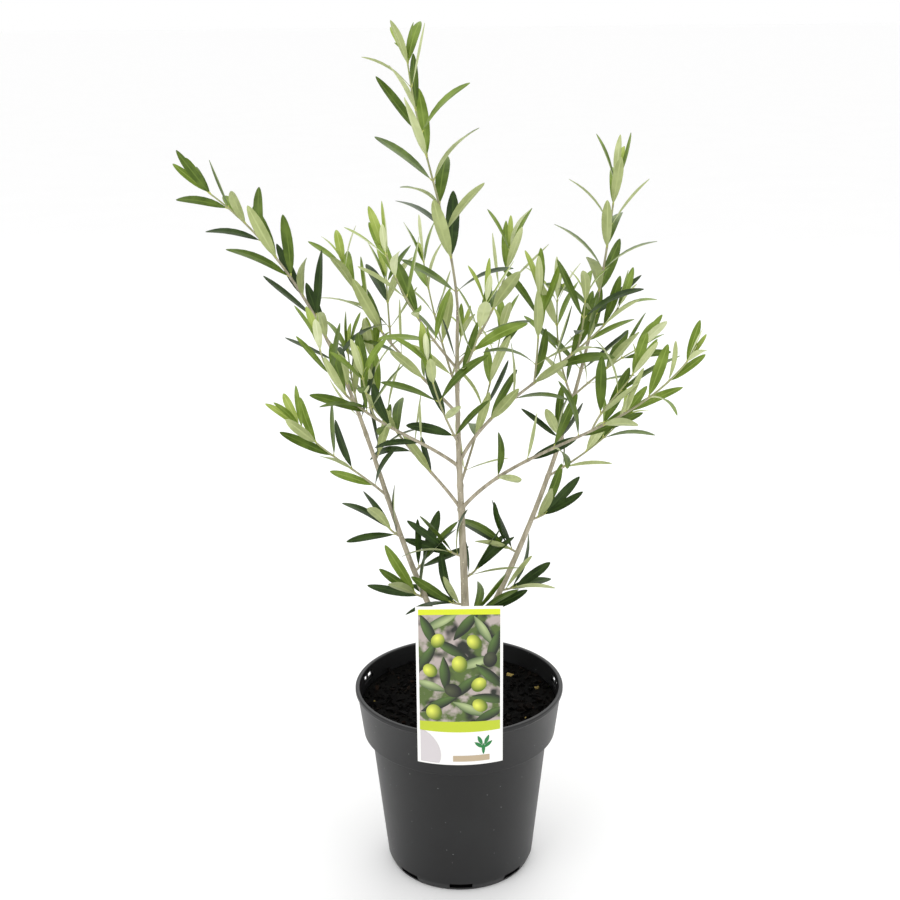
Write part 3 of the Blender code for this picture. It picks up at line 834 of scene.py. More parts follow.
@dataclass
class PictureCard:
    """The card on the rim, bent round it below and straight above, with a generic olive-sprig print."""

    pot: NurseryPot
    width: float = 0.0765
    top: float = 0.311
    bottom: float = 0.155
    thickness: float = 0.0008
    gap: float = 0.0003
    straight_from: float = 0.215
    columns: int = 26
    rows: int = 52
    border: float = 0.0024
    band_top: float = 0.3085
    field_top: float = 0.3032
    field_bottom: float = 0.1988
    foot_band: float = 0.1880
    ink_height: float = 0.00006
    tab_width: float = 0.030
    tab_drop: float = 0.014
    motifs: tuple[Print, ...] = (
        Print(Motif.PALE_LEAF, -0.016, 0.297, -62, 0.036, 0.0085),
        Print(Motif.DARK_LEAF, -0.027, 0.288, 24, 0.034, 0.0095),
        Print(Motif.DARK_LEAF, 0.006, 0.293, -38, 0.036, 0.0100),
        Print(Motif.PALE_LEAF, 0.021, 0.288, 30, 0.032, 0.0080),
        Print(Motif.DARK_LEAF, 0.030, 0.272, -18, 0.034, 0.0095),
        Print(Motif.DARK_LEAF, -0.007, 0.270, 58, 0.036, 0.0095),
        Print(Motif.DARK_LEAF, -0.029, 0.262, -30, 0.034, 0.0090),
        Print(Motif.PALE_LEAF, 0.013, 0.257, -70, 0.036, 0.0090),
        Print(Motif.DARK_LEAF, -0.013, 0.246, 4, 0.034, 0.0095),
        Print(Motif.DARK_LEAF, 0.027, 0.244, 48, 0.034, 0.0095),
        Print(Motif.PALE_LEAF, -0.026, 0.235, 68, 0.030, 0.0080),
        Print(Motif.DARK_LEAF, 0.004, 0.233, -48, 0.036, 0.0100),
        Print(Motif.DARK_LEAF, 0.028, 0.222, 82, 0.034, 0.0090),
        Print(Motif.DARK_LEAF, -0.018, 0.217, -66, 0.036, 0.0095),
        Print(Motif.PALE_LEAF, 0.009, 0.211, 64, 0.034, 0.0085),
        Print(Motif.DARK_LEAF, 0.026, 0.205, -58, 0.034, 0.0095),
        Print(Motif.GREEN_FRUIT, -0.019, 0.2785, -24, 0.0140, 0.0118),
        Print(Motif.GREEN_FRUIT, 0.013, 0.2770, 34, 0.0150, 0.0124),
        Print(Motif.BLACK_FRUIT, 0.027, 0.2600, -12, 0.0150, 0.0122),
        Print(Motif.GREEN_FRUIT, 0.000, 0.2555, 12, 0.0165, 0.0138),
        Print(Motif.GREEN_FRUIT, -0.026, 0.2500, 40, 0.0140, 0.0118),
        Print(Motif.BLACK_FRUIT, -0.006, 0.2300, 62, 0.0160, 0.0126),
        Print(Motif.GREEN_FRUIT, 0.017, 0.2355, -38, 0.0150, 0.0126),
        Print(Motif.GREEN_FRUIT, -0.023, 0.2085, 18, 0.0165, 0.0140),
        Print(Motif.GREEN_FRUIT, 0.018, 0.2150, 50, 0.0145, 0.0122),
        Print(Motif.FOOT_PATCH, -0.034, 0.1700, 30, 0.0420, 0.0300),
        Print(Motif.FOOT_BAR, 0.010, 0.1615, 90, 0.0330, 0.0058),
        Print(Motif.FOOT_LEAF, 0.0170, 0.1745, 52, 0.0100, 0.0034),
        Print(Motif.FOOT_LEAF, 0.0250, 0.1745, -52, 0.0100, 0.0034),
        Print(Motif.FOOT_LEAF, 0.0180, 0.1792, 24, 0.0100, 0.0034),
        Print(Motif.FOOT_LEAF, 0.0240, 0.1792, -24, 0.0100, 0.0034),
        Print(Motif.FOOT_LEAF, 0.0210, 0.1705, 0, 0.0110, 0.0030),
    )

    def depth(self, x: float, height: float) -> float:
        """How far the card's back stands before the pot's axis, as in the solids."""
        reach = self.pot.rim_radius + self.gap
        wrapped = math.sqrt(reach * reach - x * x)
        share = min(max((height - self.pot.height) / (self.straight_from - self.pot.height), 0.0), 1.0)
        return wrapped + (reach - wrapped) * share * share * (3 - 2 * share)

    def wrap(self, piece: bpy.types.Object) -> None:
        """Bends a flat piece in the XZ plane round the card's curve, keeping how far it stands out."""
        for vert in piece.data.vertices:
            vert.co.y -= self.depth(vert.co.x, vert.co.z)

    def sheet(self) -> bpy.types.Object:
        """The card's sheet, cut along the edges of its printed fields."""
        deselect()
        middle = (self.top + self.bottom) / 2
        bpy.ops.mesh.primitive_grid_add(
            x_subdivisions=self.columns, y_subdivisions=self.rows, size=1, location=(0, 0, middle),
            rotation=(math.pi / 2, 0, 0))
        card = bpy.context.object
        card.name = "picture_card"
        card.scale = (self.width, self.top - self.bottom, 1)
        settle(card)
        bpy.ops.object.mode_set(mode="EDIT")
        cuts = [((x, 0, middle), (1, 0, 0)) for x in (-self.width / 2 + self.border, self.width / 2 - self.border)]
        cuts += [((0, 0, z), (0, 0, 1)) for z in (self.band_top, self.field_top, self.field_bottom, self.foot_band)]
        for place, normal in cuts:
            bpy.ops.mesh.select_all(action="SELECT")
            bpy.ops.mesh.bisect(plane_co=place, plane_no=normal)
        bpy.ops.object.mode_set(mode="OBJECT")
        return card

    def colour_fields(self, card: bpy.types.Object) -> None:
        """Deals the sheet's faces to the white stock, the two bands and the picture's ground."""
        for finish in (CoatedCard("white_label_stock", "#f6f6f3", 0.30),
                       PrintedTone("lime_band_ink", "#d7e11b", 0.32),
                       PrintedTone("picture_ground_ink", "#b3a6a1", 0.32, other="#4f6427", third="#161c0f",
                                   blotch_size=0.013, share=(0.42, 0.56)),
                       PrintedTone("olive_band_ink", "#bccb25", 0.32)):
            card.data.materials.append(finish.make())
        for face in card.data.polygons:
            x, z = face.center.x, face.center.z
            inside = abs(x) < self.width / 2 - self.border
            if inside and self.field_top < z < self.band_top:
                face.material_index = 1
            elif inside and self.field_bottom < z < self.field_top:
                face.material_index = 2
            elif inside and self.foot_band < z < self.field_bottom:
                face.material_index = 3

    def printed_leaf(self) -> bpy.types.Object:
        """A unit leaf in the XZ plane: a grid whose rows are drawn in to a point."""
        deselect()
        bpy.ops.mesh.primitive_grid_add(x_subdivisions=4, y_subdivisions=12, size=1,
                                        location=(0, 0, 0), rotation=(math.pi / 2, 0, 0))
        leaf = bpy.context.object
        settle(leaf)
        for vert in leaf.data.vertices:
            along = min(max(vert.co.z + 0.5, 0.01), 0.99)
            vert.co.x *= math.sin(math.pi * along) ** 0.8
        return leaf

    def printed_disc(self) -> bpy.types.Object:
        """A unit disc in the XZ plane, mapped so that its shading can be lit from one side."""
        deselect()
        bpy.ops.mesh.primitive_circle_add(vertices=28, radius=0.5, fill_type="TRIFAN",
                                          location=(0, 0, 0), rotation=(math.pi / 2, 0, 0))
        disc = bpy.context.object
        bpy.ops.object.mode_set(mode="EDIT")
        bpy.ops.mesh.select_all(action="SELECT")
        bpy.ops.mesh.subdivide(number_cuts=3)
        bpy.ops.object.mode_set(mode="OBJECT")
        settle(disc)
        return disc

    def printed_bar(self) -> bpy.types.Object:
        """A unit square in the XZ plane, cut in strips so that it can bend."""
        deselect()
        bpy.ops.mesh.primitive_grid_add(x_subdivisions=1, y_subdivisions=12, size=1,
                                        location=(0, 0, 0), rotation=(math.pi / 2, 0, 0))
        bar = bpy.context.object
        settle(bar)
        return bar

    def inks(self) -> dict[Motif, bpy.types.Material]:
        """The ink of each motif.

        Returns:
            A material for each kind.
        """
        finishes = {
            Motif.DARK_LEAF: PrintedMotif("dark_leaf_ink", "#141f0c", 0.32, bright="#4f6b2c",
                                          lit_from=(0.2, 0.7), reach=0.7),
            Motif.PALE_LEAF: PrintedMotif("pale_leaf_ink", "#4a6038", 0.32, bright="#aebd86",
                                          lit_from=(0.7, 0.6), reach=0.7),
            Motif.GREEN_FRUIT: PrintedMotif("green_fruit_ink", "#59700f", 0.32, bright="#e2e85c"),
            Motif.BLACK_FRUIT: PrintedMotif("black_fruit_ink", "#0b0e08", 0.32, bright="#454b30"),
            Motif.FOOT_LEAF: PrintedTone("foot_leaf_ink", "#1f7a3c", 0.32),
            Motif.FOOT_PATCH: PrintedTone("foot_patch_ink", "#cfc9cb", 0.32),
            Motif.FOOT_BAR: PrintedTone("foot_bar_ink", "#bba88c", 0.32),
        }
        return {kind: finish.make() for kind, finish in finishes.items()}

    def prints(self) -> bpy.types.Object:
        """The picture's leaves and fruit and the foot's plain shapes, as one thin printed piece."""
        inks = self.inks()
        templates = {kind: self.printed_leaf() for kind in (Motif.DARK_LEAF, Motif.PALE_LEAF, Motif.FOOT_LEAF)}
        templates |= {kind: self.printed_disc()
                      for kind in (Motif.GREEN_FRUIT, Motif.BLACK_FRUIT, Motif.FOOT_PATCH)}
        templates[Motif.FOOT_BAR] = self.printed_bar()
        for kind, template in templates.items():
            template.data.materials.append(inks[kind])
        limit = self.width / 2 - self.border - 0.0002
        pieces = []
        for number, motif in enumerate(self.motifs, start=1):
            lift = self.thickness + self.ink_height * (1 + number / 8)
            turned = Matrix.Rotation(-math.radians(motif.turn), 4, "Y")
            size = Matrix.Diagonal((motif.width, 1, motif.length, 1))
            shape = twin(templates[motif.kind], Matrix.Translation((motif.x, -lift, motif.z)) @ turned @ size)
            in_foot = motif.kind in (Motif.FOOT_LEAF, Motif.FOOT_PATCH, Motif.FOOT_BAR)
            low, high = (self.bottom + 0.0015, self.foot_band) if in_foot else (self.field_bottom, self.field_top)
            for vert in shape.data.vertices:
                vert.co.x = min(max(vert.co.x, -limit), limit)
                vert.co.z = min(max(vert.co.z, low), high)
            pieces.append(shape)
        discard(templates.values())
        sprig = join("card_print", pieces)
        self.wrap(sprig)
        return sprig

    def tab(self) -> bpy.types.Object:
        """The tab behind the card: out of its back, over the rim and down inside."""
        rim, rise = self.pot.rim_radius + self.gap * 2, self.pot.height + self.gap
        inner = self.pot.inner_radius(self.pot.height) - self.gap * 3
        low = self.pot.inner_radius(self.pot.height - self.tab_drop) - self.gap * 3
        path = [(rim, rise - 0.0090), (rim, rise), (rim - 0.0005, rise + 0.0007), (inner + 0.0005, rise + 0.0007),
                (inner, rise), (low, rise - self.tab_drop)]
        strip = point_chain("card_tab", path)
        bpy.ops.mesh.spin(steps=14, angle=self.tab_width / self.pot.rim_radius, center=(0, 0, 0),
                          axis=(0, 0, 1))
        bpy.ops.mesh.select_all(action="SELECT")
        bpy.ops.mesh.normals_make_consistent(inside=False)
        bpy.ops.object.mode_set(mode="OBJECT")
        settle(strip)
        middle = sum((v.co for v in strip.data.vertices), Vector()) / len(strip.data.vertices)
        facing = math.atan2(middle.y, middle.x)
        strip.data.transform(Matrix.Rotation(-math.pi / 2 - facing, 4, "Z"))
        apply_modifier(strip, "SOLIDIFY", thickness=0.0006, offset=0.0)
        return strip

    def build(self) -> None:
        """Cuts, prints and bends the card, and hooks it on the rim."""
        card = self.sheet()
        self.colour_fields(card)
        self.wrap(card)
        # The sheet faces forwards from the card's back, so its thickness grows towards the front
        apply_modifier(card, "SOLIDIFY", thickness=self.thickness, offset=1.0)
        for face in card.data.polygons:
            if face.normal.y > -0.3:
                face.material_index = 0
        pick(card)
        bpy.ops.object.shade_smooth_by_angle(angle=math.radians(40))
        keep(card, "card", "label_card")
        keep(self.prints(), "card")
        tab = self.tab()
        tab.data.materials.append(CoatedCard("white_card_tab", "#f2f2ee", 0.34).make())
        pick(tab)
        bpy.ops.object.shade_smooth_by_angle(angle=math.radians(40))
        keep(tab, "card")


# Growth

class CrownPart(Enum):
    """The parts of the crown that its twigs and leaves are joined by."""

    LEADER = "leader"
    LEFT_STEM = "left_stem"
    RIGHT_STEM = "right_stem"
    LEFT_BOUGHS = "left_boughs"
    RIGHT_BOUGHS = "right_boughs"
    INNER_SHOOTS = "inner_shoots"
    LOW_SPRAYS = "low_sprays"


class Flush(Enum):
    """How old a shoot's first and last leaves are, as steps on the leaf shades from dark to pale."""

    OLD = (0.0, 0.3)
    FIRM = (0.1, 1.2)
    SUMMER = (0.7, 2.1)
    FRESH = (1.2, 2.8)


@dataclass(frozen=True)
class Shoot:
    """One axis of the plant, as in the solids: from its foot on its parent to its tip."""

    name: str
    parent: str
    along: float
    heading: float
    climb: tuple[float, float, float]
    length: float
    radii: tuple[float, float]
    part: CrownPart
    bare: float = 0.0
    limb: str = ""
    joins: str = ""
    pairs: int = 0
    roll: float = 0.0
    leaf: tuple[float, float, float] = (0.048, 0.055, 0.042)
    flush: Flush = Flush.SUMMER
    side_shoots: float = 0.0
    front: float = 0.14
    gather: float = 0.86
    tips: int = 3


TRUNK = Shoot("trunk", "", 0, 180, (91, 88, 92), 0.385, (0.0047, 0.0013), CrownPart.LEADER, bare=0.385,
              limb="trunk")

STEMS = (
    Shoot("left_stem", "trunk", 0.034, 172, (57, 72, 35), 0.512, (0.0031, 0.0007), CrownPart.LEFT_STEM,
          bare=0.290, limb="left_stem", pairs=11, roll=22, leaf=(0.054, 0.060, 0.046),
          flush=Flush.FIRM, front=0.60, gather=0.94),
    Shoot("right_stem", "trunk", 0.050, 18, (60, 72, 85), 0.466, (0.0031, 0.0007), CrownPart.RIGHT_STEM,
          bare=0.284, limb="right_stem", pairs=9, roll=64, leaf=(0.055, 0.060, 0.046)),
)

BOUGHS = (
    Shoot("left_low", "trunk", 0.199, 146, (48, 44, 100), 0.172, (0.0016, 0.0007), CrownPart.LEFT_BOUGHS,
          bare=0.034, limb="left_low_bough", pairs=7, roll=20, leaf=(0.050, 0.056, 0.042), side_shoots=0.08),
    Shoot("left_front", "trunk", 0.240, 202, (42, 36, 80), 0.182, (0.0017, 0.0007), CrownPart.LEFT_BOUGHS,
          bare=0.036, limb="left_front_bough", pairs=6, roll=70, leaf=(0.048, 0.055, 0.042),
          side_shoots=0.08),
    Shoot("left_back", "trunk", 0.290, 150, (40, 43, 68), 0.174, (0.0015, 0.0007), CrownPart.LEFT_BOUGHS,
          bare=0.034, limb="left_back_bough", pairs=6, roll=20, leaf=(0.048, 0.055, 0.044),
          flush=Flush.FRESH, side_shoots=0.10),
    Shoot("left_high", "trunk", 0.332, 218, (48, 55, 69), 0.134, (0.0013, 0.0007), CrownPart.LEFT_BOUGHS,
          bare=0.028, limb="left_high_bough", pairs=5, roll=70, leaf=(0.048, 0.055, 0.044),
          flush=Flush.FRESH, side_shoots=0.08),
    Shoot("right_low", "trunk", 0.199, -28, (52, 30, 56), 0.268, (0.0018, 0.0007), CrownPart.RIGHT_BOUGHS,
          bare=0.042, limb="right_low_bough", pairs=9, roll=45, leaf=(0.050, 0.056, 0.036),
          side_shoots=0.06),
    Shoot("right_mid", "trunk", 0.244, -3, (66, 38, 56), 0.202, (0.0017, 0.0007), CrownPart.RIGHT_BOUGHS,
          bare=0.040, limb="right_mid_bough", pairs=8, roll=20, leaf=(0.050, 0.057, 0.038),
          side_shoots=0.06),
    Shoot("right_high", "trunk", 0.334, 36, (42, 58, 82), 0.118, (0.0013, 0.0007), CrownPart.RIGHT_BOUGHS,
          bare=0.026, limb="right_high_bough", pairs=5, roll=70, leaf=(0.050, 0.056, 0.042),
          flush=Flush.FRESH, side_shoots=0.08),
)

LEAFY = (
    Shoot("leader", "trunk", 0.385, 180, (87, 76, 84), 0.215, (0.0012, 0.0006), CrownPart.LEADER,
          pairs=10, roll=66, leaf=(0.060, 0.064, 0.044), front=0.28),
    Shoot("left_shoot", "left_stem", 0.190, 195, (47, 40, 53), 0.108, (0.0012, 0.0006),
          CrownPart.LEFT_STEM, pairs=5, roll=60, leaf=(0.048, 0.056, 0.042), front=0.4),
    Shoot("left_upper_shoot", "left_stem", 0.252, 120, (50, 66, 78), 0.078, (0.0011, 0.0006),
          CrownPart.LEFT_STEM, pairs=4, roll=10),
    Shoot("right_shoot", "right_stem", 0.190, 6, (30, 36, 48), 0.084, (0.0012, 0.0006),
          CrownPart.RIGHT_STEM, pairs=4, roll=60),
    Shoot("right_inner_shoot", "right_stem", 0.266, 140, (58, 80, 92), 0.094, (0.0011, 0.0006),
          CrownPart.RIGHT_STEM, pairs=4, roll=10, flush=Flush.FRESH, side_shoots=0.08),
    Shoot("right_outer_shoot", "right_stem", 0.270, 22, (36, 30, 20), 0.076, (0.0011, 0.0006),
          CrownPart.RIGHT_STEM, pairs=4, roll=60),
    Shoot("back_low_shoot", "trunk", 0.222, 66, (44, 50, 62), 0.158, (0.0013, 0.0006),
          CrownPart.INNER_SHOOTS, pairs=6, roll=40, side_shoots=0.08),
    Shoot("back_high_shoot", "trunk", 0.312, 112, (42, 52, 66), 0.132, (0.0012, 0.0006),
          CrownPart.INNER_SHOOTS, pairs=5, roll=10, side_shoots=0.08),
    Shoot("front_low_shoot", "trunk", 0.262, 252, (42, 48, 62), 0.128, (0.0012, 0.0006),
          CrownPart.INNER_SHOOTS, pairs=5, roll=30, side_shoots=0.08),
    Shoot("front_high_shoot", "trunk", 0.318, 292, (44, 52, 68), 0.108, (0.0012, 0.0006),
          CrownPart.INNER_SHOOTS, pairs=4, roll=60, flush=Flush.FRESH, side_shoots=0.08),
)

SIDE_TWIGS = (
    Shoot("right_low_twig", "right_low", 0.158, -6, (70, 52, 60), 0.062, (0.0010, 0.0006),
          CrownPart.RIGHT_BOUGHS, joins="right_low", pairs=3, roll=20, leaf=(0.050, 0.057, 0.040)),
    Shoot("right_mid_twig", "right_mid", 0.102, 70, (66, 80, 88), 0.078, (0.0010, 0.0006),
          CrownPart.RIGHT_BOUGHS, joins="right_mid", pairs=4, roll=20),
    Shoot("right_mid_near_twig", "right_mid", 0.150, -70, (60, 74, 84), 0.050, (0.0010, 0.0006),
          CrownPart.RIGHT_BOUGHS, joins="right_mid", pairs=3, roll=60),
    Shoot("left_front_twig", "left_front", 0.096, 250, (44, 60, 70), 0.052, (0.0010, 0.0006),
          CrownPart.LEFT_BOUGHS, joins="left_front", pairs=3, roll=20),
    Shoot("left_back_twig", "left_back", 0.090, 98, (46, 60, 74), 0.062, (0.0010, 0.0006),
          CrownPart.LEFT_BOUGHS, joins="left_back", pairs=3, roll=20),
)

# Lowest leaves, as short sprays: parent, distance up it, heading and climb
SPRAY_PLACES = (
    ("trunk", 0.092, -8, 16),
    ("trunk", 0.104, 200, 10),
    ("trunk", 0.130, 24, 24),
    ("trunk", 0.152, 172, 16),
    ("left_stem", 0.084, 200, 26),
    ("left_stem", 0.112, 20, 40),
    ("left_stem", 0.148, 184, 34),
    ("left_stem", 0.226, 60, 40),
    ("right_stem", 0.072, -12, 12),
    ("right_stem", 0.112, 172, 24),
    ("right_stem", 0.146, -4, 20),
    ("right_stem", 0.226, 250, 40),
)


@dataclass
class Growth:
    """Where every shoot runs and how thick it is, by the rule that the solids follow."""

    foot: tuple[float, float, float] = (0.007, -0.012, 0.1693)
    flare: float = 0.0034
    flare_height: float = 0.016
    path_step: float = 0.002
    node_swelling: float = 0.16
    node_reach: float = 0.0022
    shoots: dict[str, Shoot] = field(default_factory=dict)
    paths: dict[str, list[tuple[Vector, Vector]]] = field(default_factory=dict)
    swellings: dict[str, list[float]] = field(default_factory=dict)

    def add(self, shoot: Shoot) -> None:
        """Works out a shoot's path from its parent's.

        Args:
            shoot: The shoot, whose parent is already there.
        """
        heading = math.radians(shoot.heading)
        outwards = Vector((math.cos(heading), math.sin(heading), 0))
        place = self.at(shoot.parent, shoot.along)[0].copy() if shoot.parent else Vector(self.foot)
        path = []
        steps = max(round(shoot.length / self.path_step), 4)
        foot, middle, tip = shoot.climb
        for number in range(steps + 1):
            t = number / steps
            climb = foot * (1 - t) * (1 - 2 * t) + middle * 4 * t * (1 - t) + tip * t * (2 * t - 1)
            climb = math.radians(climb)
            course = outwards * math.cos(climb) + Vector((0, 0, math.sin(climb)))
            path.append((place.copy(), course))
            place += course * (shoot.length / steps)
        self.shoots[shoot.name] = shoot
        self.paths[shoot.name] = path
        self.swellings[shoot.name] = []
        if shoot.parent:
            self.swellings[shoot.parent].append(shoot.along)

    def at(self, name: str, along: float) -> tuple[Vector, Vector]:
        """The point and course of a shoot at a distance from its foot."""
        path = self.paths[name]
        share = min(max(along / self.shoots[name].length, 0.0), 1.0) * (len(path) - 1)
        low = min(int(share), len(path) - 2)
        place = path[low][0].lerp(path[low + 1][0], share - low)
        return place, path[low][1].lerp(path[low + 1][1], share - low).normalized()

    def radius(self, name: str, along: float) -> float:
        """A shoot's plain radius at a distance from its foot, with the trunk's flare."""
        shoot = self.shoots[name]
        share = min(along / shoot.length, 1.0)
        radius = shoot.radii[0] + (shoot.radii[1] - shoot.radii[0]) * share
        if not shoot.parent:
            radius += self.flare * math.exp(-along / self.flare_height)
        return radius

    def run(self, name: str, start: float, end: float, step: float) -> Run:
        """Points and radii along a shoot, swollen at its nodes.

        Args:
            name: The shoot.
            start: Where the run begins, in metres from the foot. Below 0 it reaches back into the parent.
            end: Where it ends.
            step: The distance between points.

        Returns:
            The run.
        """
        count = max(2, math.ceil((end - start) / step) + 1)
        points = []
        for number in range(count):
            along = start + (end - start) * number / (count - 1)
            place, course = self.at(name, max(along, 0.0))
            if along < 0:
                place = place + course * along
            radius = self.radius(name, max(along, 0.0))
            for node in self.swellings[name]:
                radius *= 1 + self.node_swelling * math.exp(-((along - node) / self.node_reach) ** 2)
            points.append((place, radius))
        return points

    def nodes_of(self, shoot: Shoot) -> list[float]:
        """Where a shoot's pairs of leaves stand, a little closer together towards its tip."""
        first = shoot.bare + 0.010 if shoot.bare else min(0.016, shoot.length * 0.4)
        last = shoot.length - 0.003
        shares = [(pair / max(shoot.pairs - 1, 1)) ** shoot.gather for pair in range(shoot.pairs)]
        return [first + (last - first) * share for share in shares]


def sweep(name: str, runs: Sequence[Run], bevel_steps: int) -> bpy.types.Object:
    """Draws tubes along runs as one curve and makes it a mesh.

    Args:
        name: The piece's name.
        runs: Points and radii of each tube.
        bevel_steps: The curve's bevel resolution, which sets how many sides a tube has.

    Returns:
        The tubes as one mesh with filled ends and the attribute age.
    """
    deselect()
    bpy.ops.curve.primitive_nurbs_path_add(radius=1, location=(0, 0, 0))
    path = bpy.context.object
    path.name = name
    curve = path.data
    curve.splines.clear()
    curve.bevel_depth = MILLIMETRE
    curve.bevel_resolution = bevel_steps
    curve.use_fill_caps = True
    for run in runs:
        spline = curve.splines.new("POLY")
        spline.points.add(len(run) - 1)
        for point, (place, radius) in zip(spline.points, run):
            point.co = (*place, 1.0)
            point.radius = radius / MILLIMETRE
    pick(path)
    bpy.ops.object.convert(target="MESH")
    tube = bpy.context.object
    bpy.ops.object.mode_set(mode="EDIT")
    bpy.ops.mesh.select_all(action="SELECT")
    bpy.ops.mesh.normals_make_consistent(inside=False)
    bpy.ops.object.mode_set(mode="OBJECT")
    bpy.ops.object.shade_smooth_by_angle(angle=math.radians(60))
    age_wood(tube, runs)
    return tube


def age_wood(tube: bpy.types.Object, runs: Sequence[Run], green: float = 0.0006, grey: float = 0.0012) -> None:
    """Marks each point of a tube with the age of its wood, from its radius.

    Args:
        tube: The mesh.
        runs: The runs that it was drawn along.
        green: The radius at which wood is as green as it gets.
        grey: The radius at which it is fully grey.
    """
    points = [entry for run in runs for entry in run]
    tree = KDTree(len(points))
    for number, (place, _) in enumerate(points):
        tree.insert(place, number)
    tree.balance()
    ages = []
    for vert in tube.data.vertices:
        radius = points[tree.find(vert.co)[1]][1]
        ages.append(min(max((radius - green) / (grey - green), 0.0), 1.0))
    attribute = tube.data.attributes.new("age", "FLOAT", "POINT")
    attribute.data.foreach_set("value", ages)


# Wood

@dataclass
class OliveWood:
    """The trunk, the two side stems and the boughs, as swept tubes with the bark's relief."""

    growth: Growth
    bark: bpy.types.Material
    ring_step: float = 0.0016
    trunk_bevel: int = 8
    bough_bevel: int = 5
    sunk: float = 0.0075
    fissure_size: float = 0.0024
    fissure_draw: float = 5.0
    fissure_height: float = 0.00030
    knob_size: float = 0.0075
    knob_height: float = 0.00045

    def relief(self, limb: bpy.types.Object, radius: float) -> None:
        """Displaces a limb's surface: fine upright fissures over soft knobs.

        Args:
            limb: The swept limb.
            radius: Its foot's radius, which the relief goes with.
        """
        weight = min(radius / 0.0045, 1.0)
        bpy.ops.object.empty_add(location=(0, 0, 0))
        drawn = bpy.context.object
        drawn.scale = (1.0, 1.0, self.fissure_draw)
        bpy.context.view_layer.update()
        for size, height in ((self.fissure_size, self.fissure_height), (self.knob_size, self.knob_height)):
            clouds = bpy.data.textures.new("bark_clouds", "CLOUDS")
            clouds.noise_scale = size
            clouds.noise_depth = 2
            apply_modifier(limb, "DISPLACE", texture=clouds, texture_coords="OBJECT",
                           texture_coords_object=drawn, direction="NORMAL",
                           strength=height * weight, mid_level=0.5)
            bpy.data.textures.remove(clouds)
        discard([drawn])

    def limb(self, shoot: Shoot) -> None:
        """Sweeps one limb over its solid's length, its foot sunk into what carries it."""
        back = -self.growth.radius(shoot.parent, shoot.along) * 0.6 if shoot.parent else -self.sunk
        end = shoot.bare if shoot.parent else shoot.length
        run = self.growth.run(shoot.name, back, end, self.ring_step)
        if shoot.parent:
            # A side limb spreads a little into a collar where it leaves its parent
            spread = self.growth.radius(shoot.parent, shoot.along)
            run = [(place, radius * (1 + 0.35 * math.exp(-max(back + self.ring_step * number, 0) / spread)))
                   for number, (place, radius) in enumerate(run)]
        bevel = self.trunk_bevel if shoot.radii[0] > 0.0025 else self.bough_bevel
        limb = sweep(f"{shoot.limb}_bark", [run], bevel)
        self.relief(limb, shoot.radii[0])
        limb.data.materials.append(self.bark)
        keep(limb, "bark", shoot.limb)

    def build(self) -> None:
        """Sweeps every limb."""
        for shoot in (TRUNK, *STEMS, *BOUGHS):
            self.limb(shoot)


# Foliage

class LeafFaceKind(Enum):
    """The faces of a leaf, by their place among a shade's materials."""

    STALK = 0
    UPPER = 1
    MIDRIB = 2
    UNDER = 3
    VEIN = 4


@dataclass(frozen=True)
class LeafForm:
    """One way a leaf bends: along its length, across its width, and its twist, in degrees."""

    name: str
    arch: float
    channel: float
    twist: float


class Bend(Enum):
    """The forms that leaves are dealt, from upcurved young ones to arching old ones."""

    UPCURVED = LeafForm("upcurved", 26, 66, 6)
    STRAIGHT = LeafForm("straight", 6, 56, -8)
    HOLLOW = LeafForm("hollow", 14, 96, 12)
    EASY = LeafForm("easy", -14, 60, -14)
    ARCHED = LeafForm("arched", -38, 54, 10)
    TWISTED = LeafForm("twisted", -8, 66, 34)
    TURNED = LeafForm("turned", 10, 66, -34)
    HOOKED = LeafForm("hooked", -62, 46, -18)


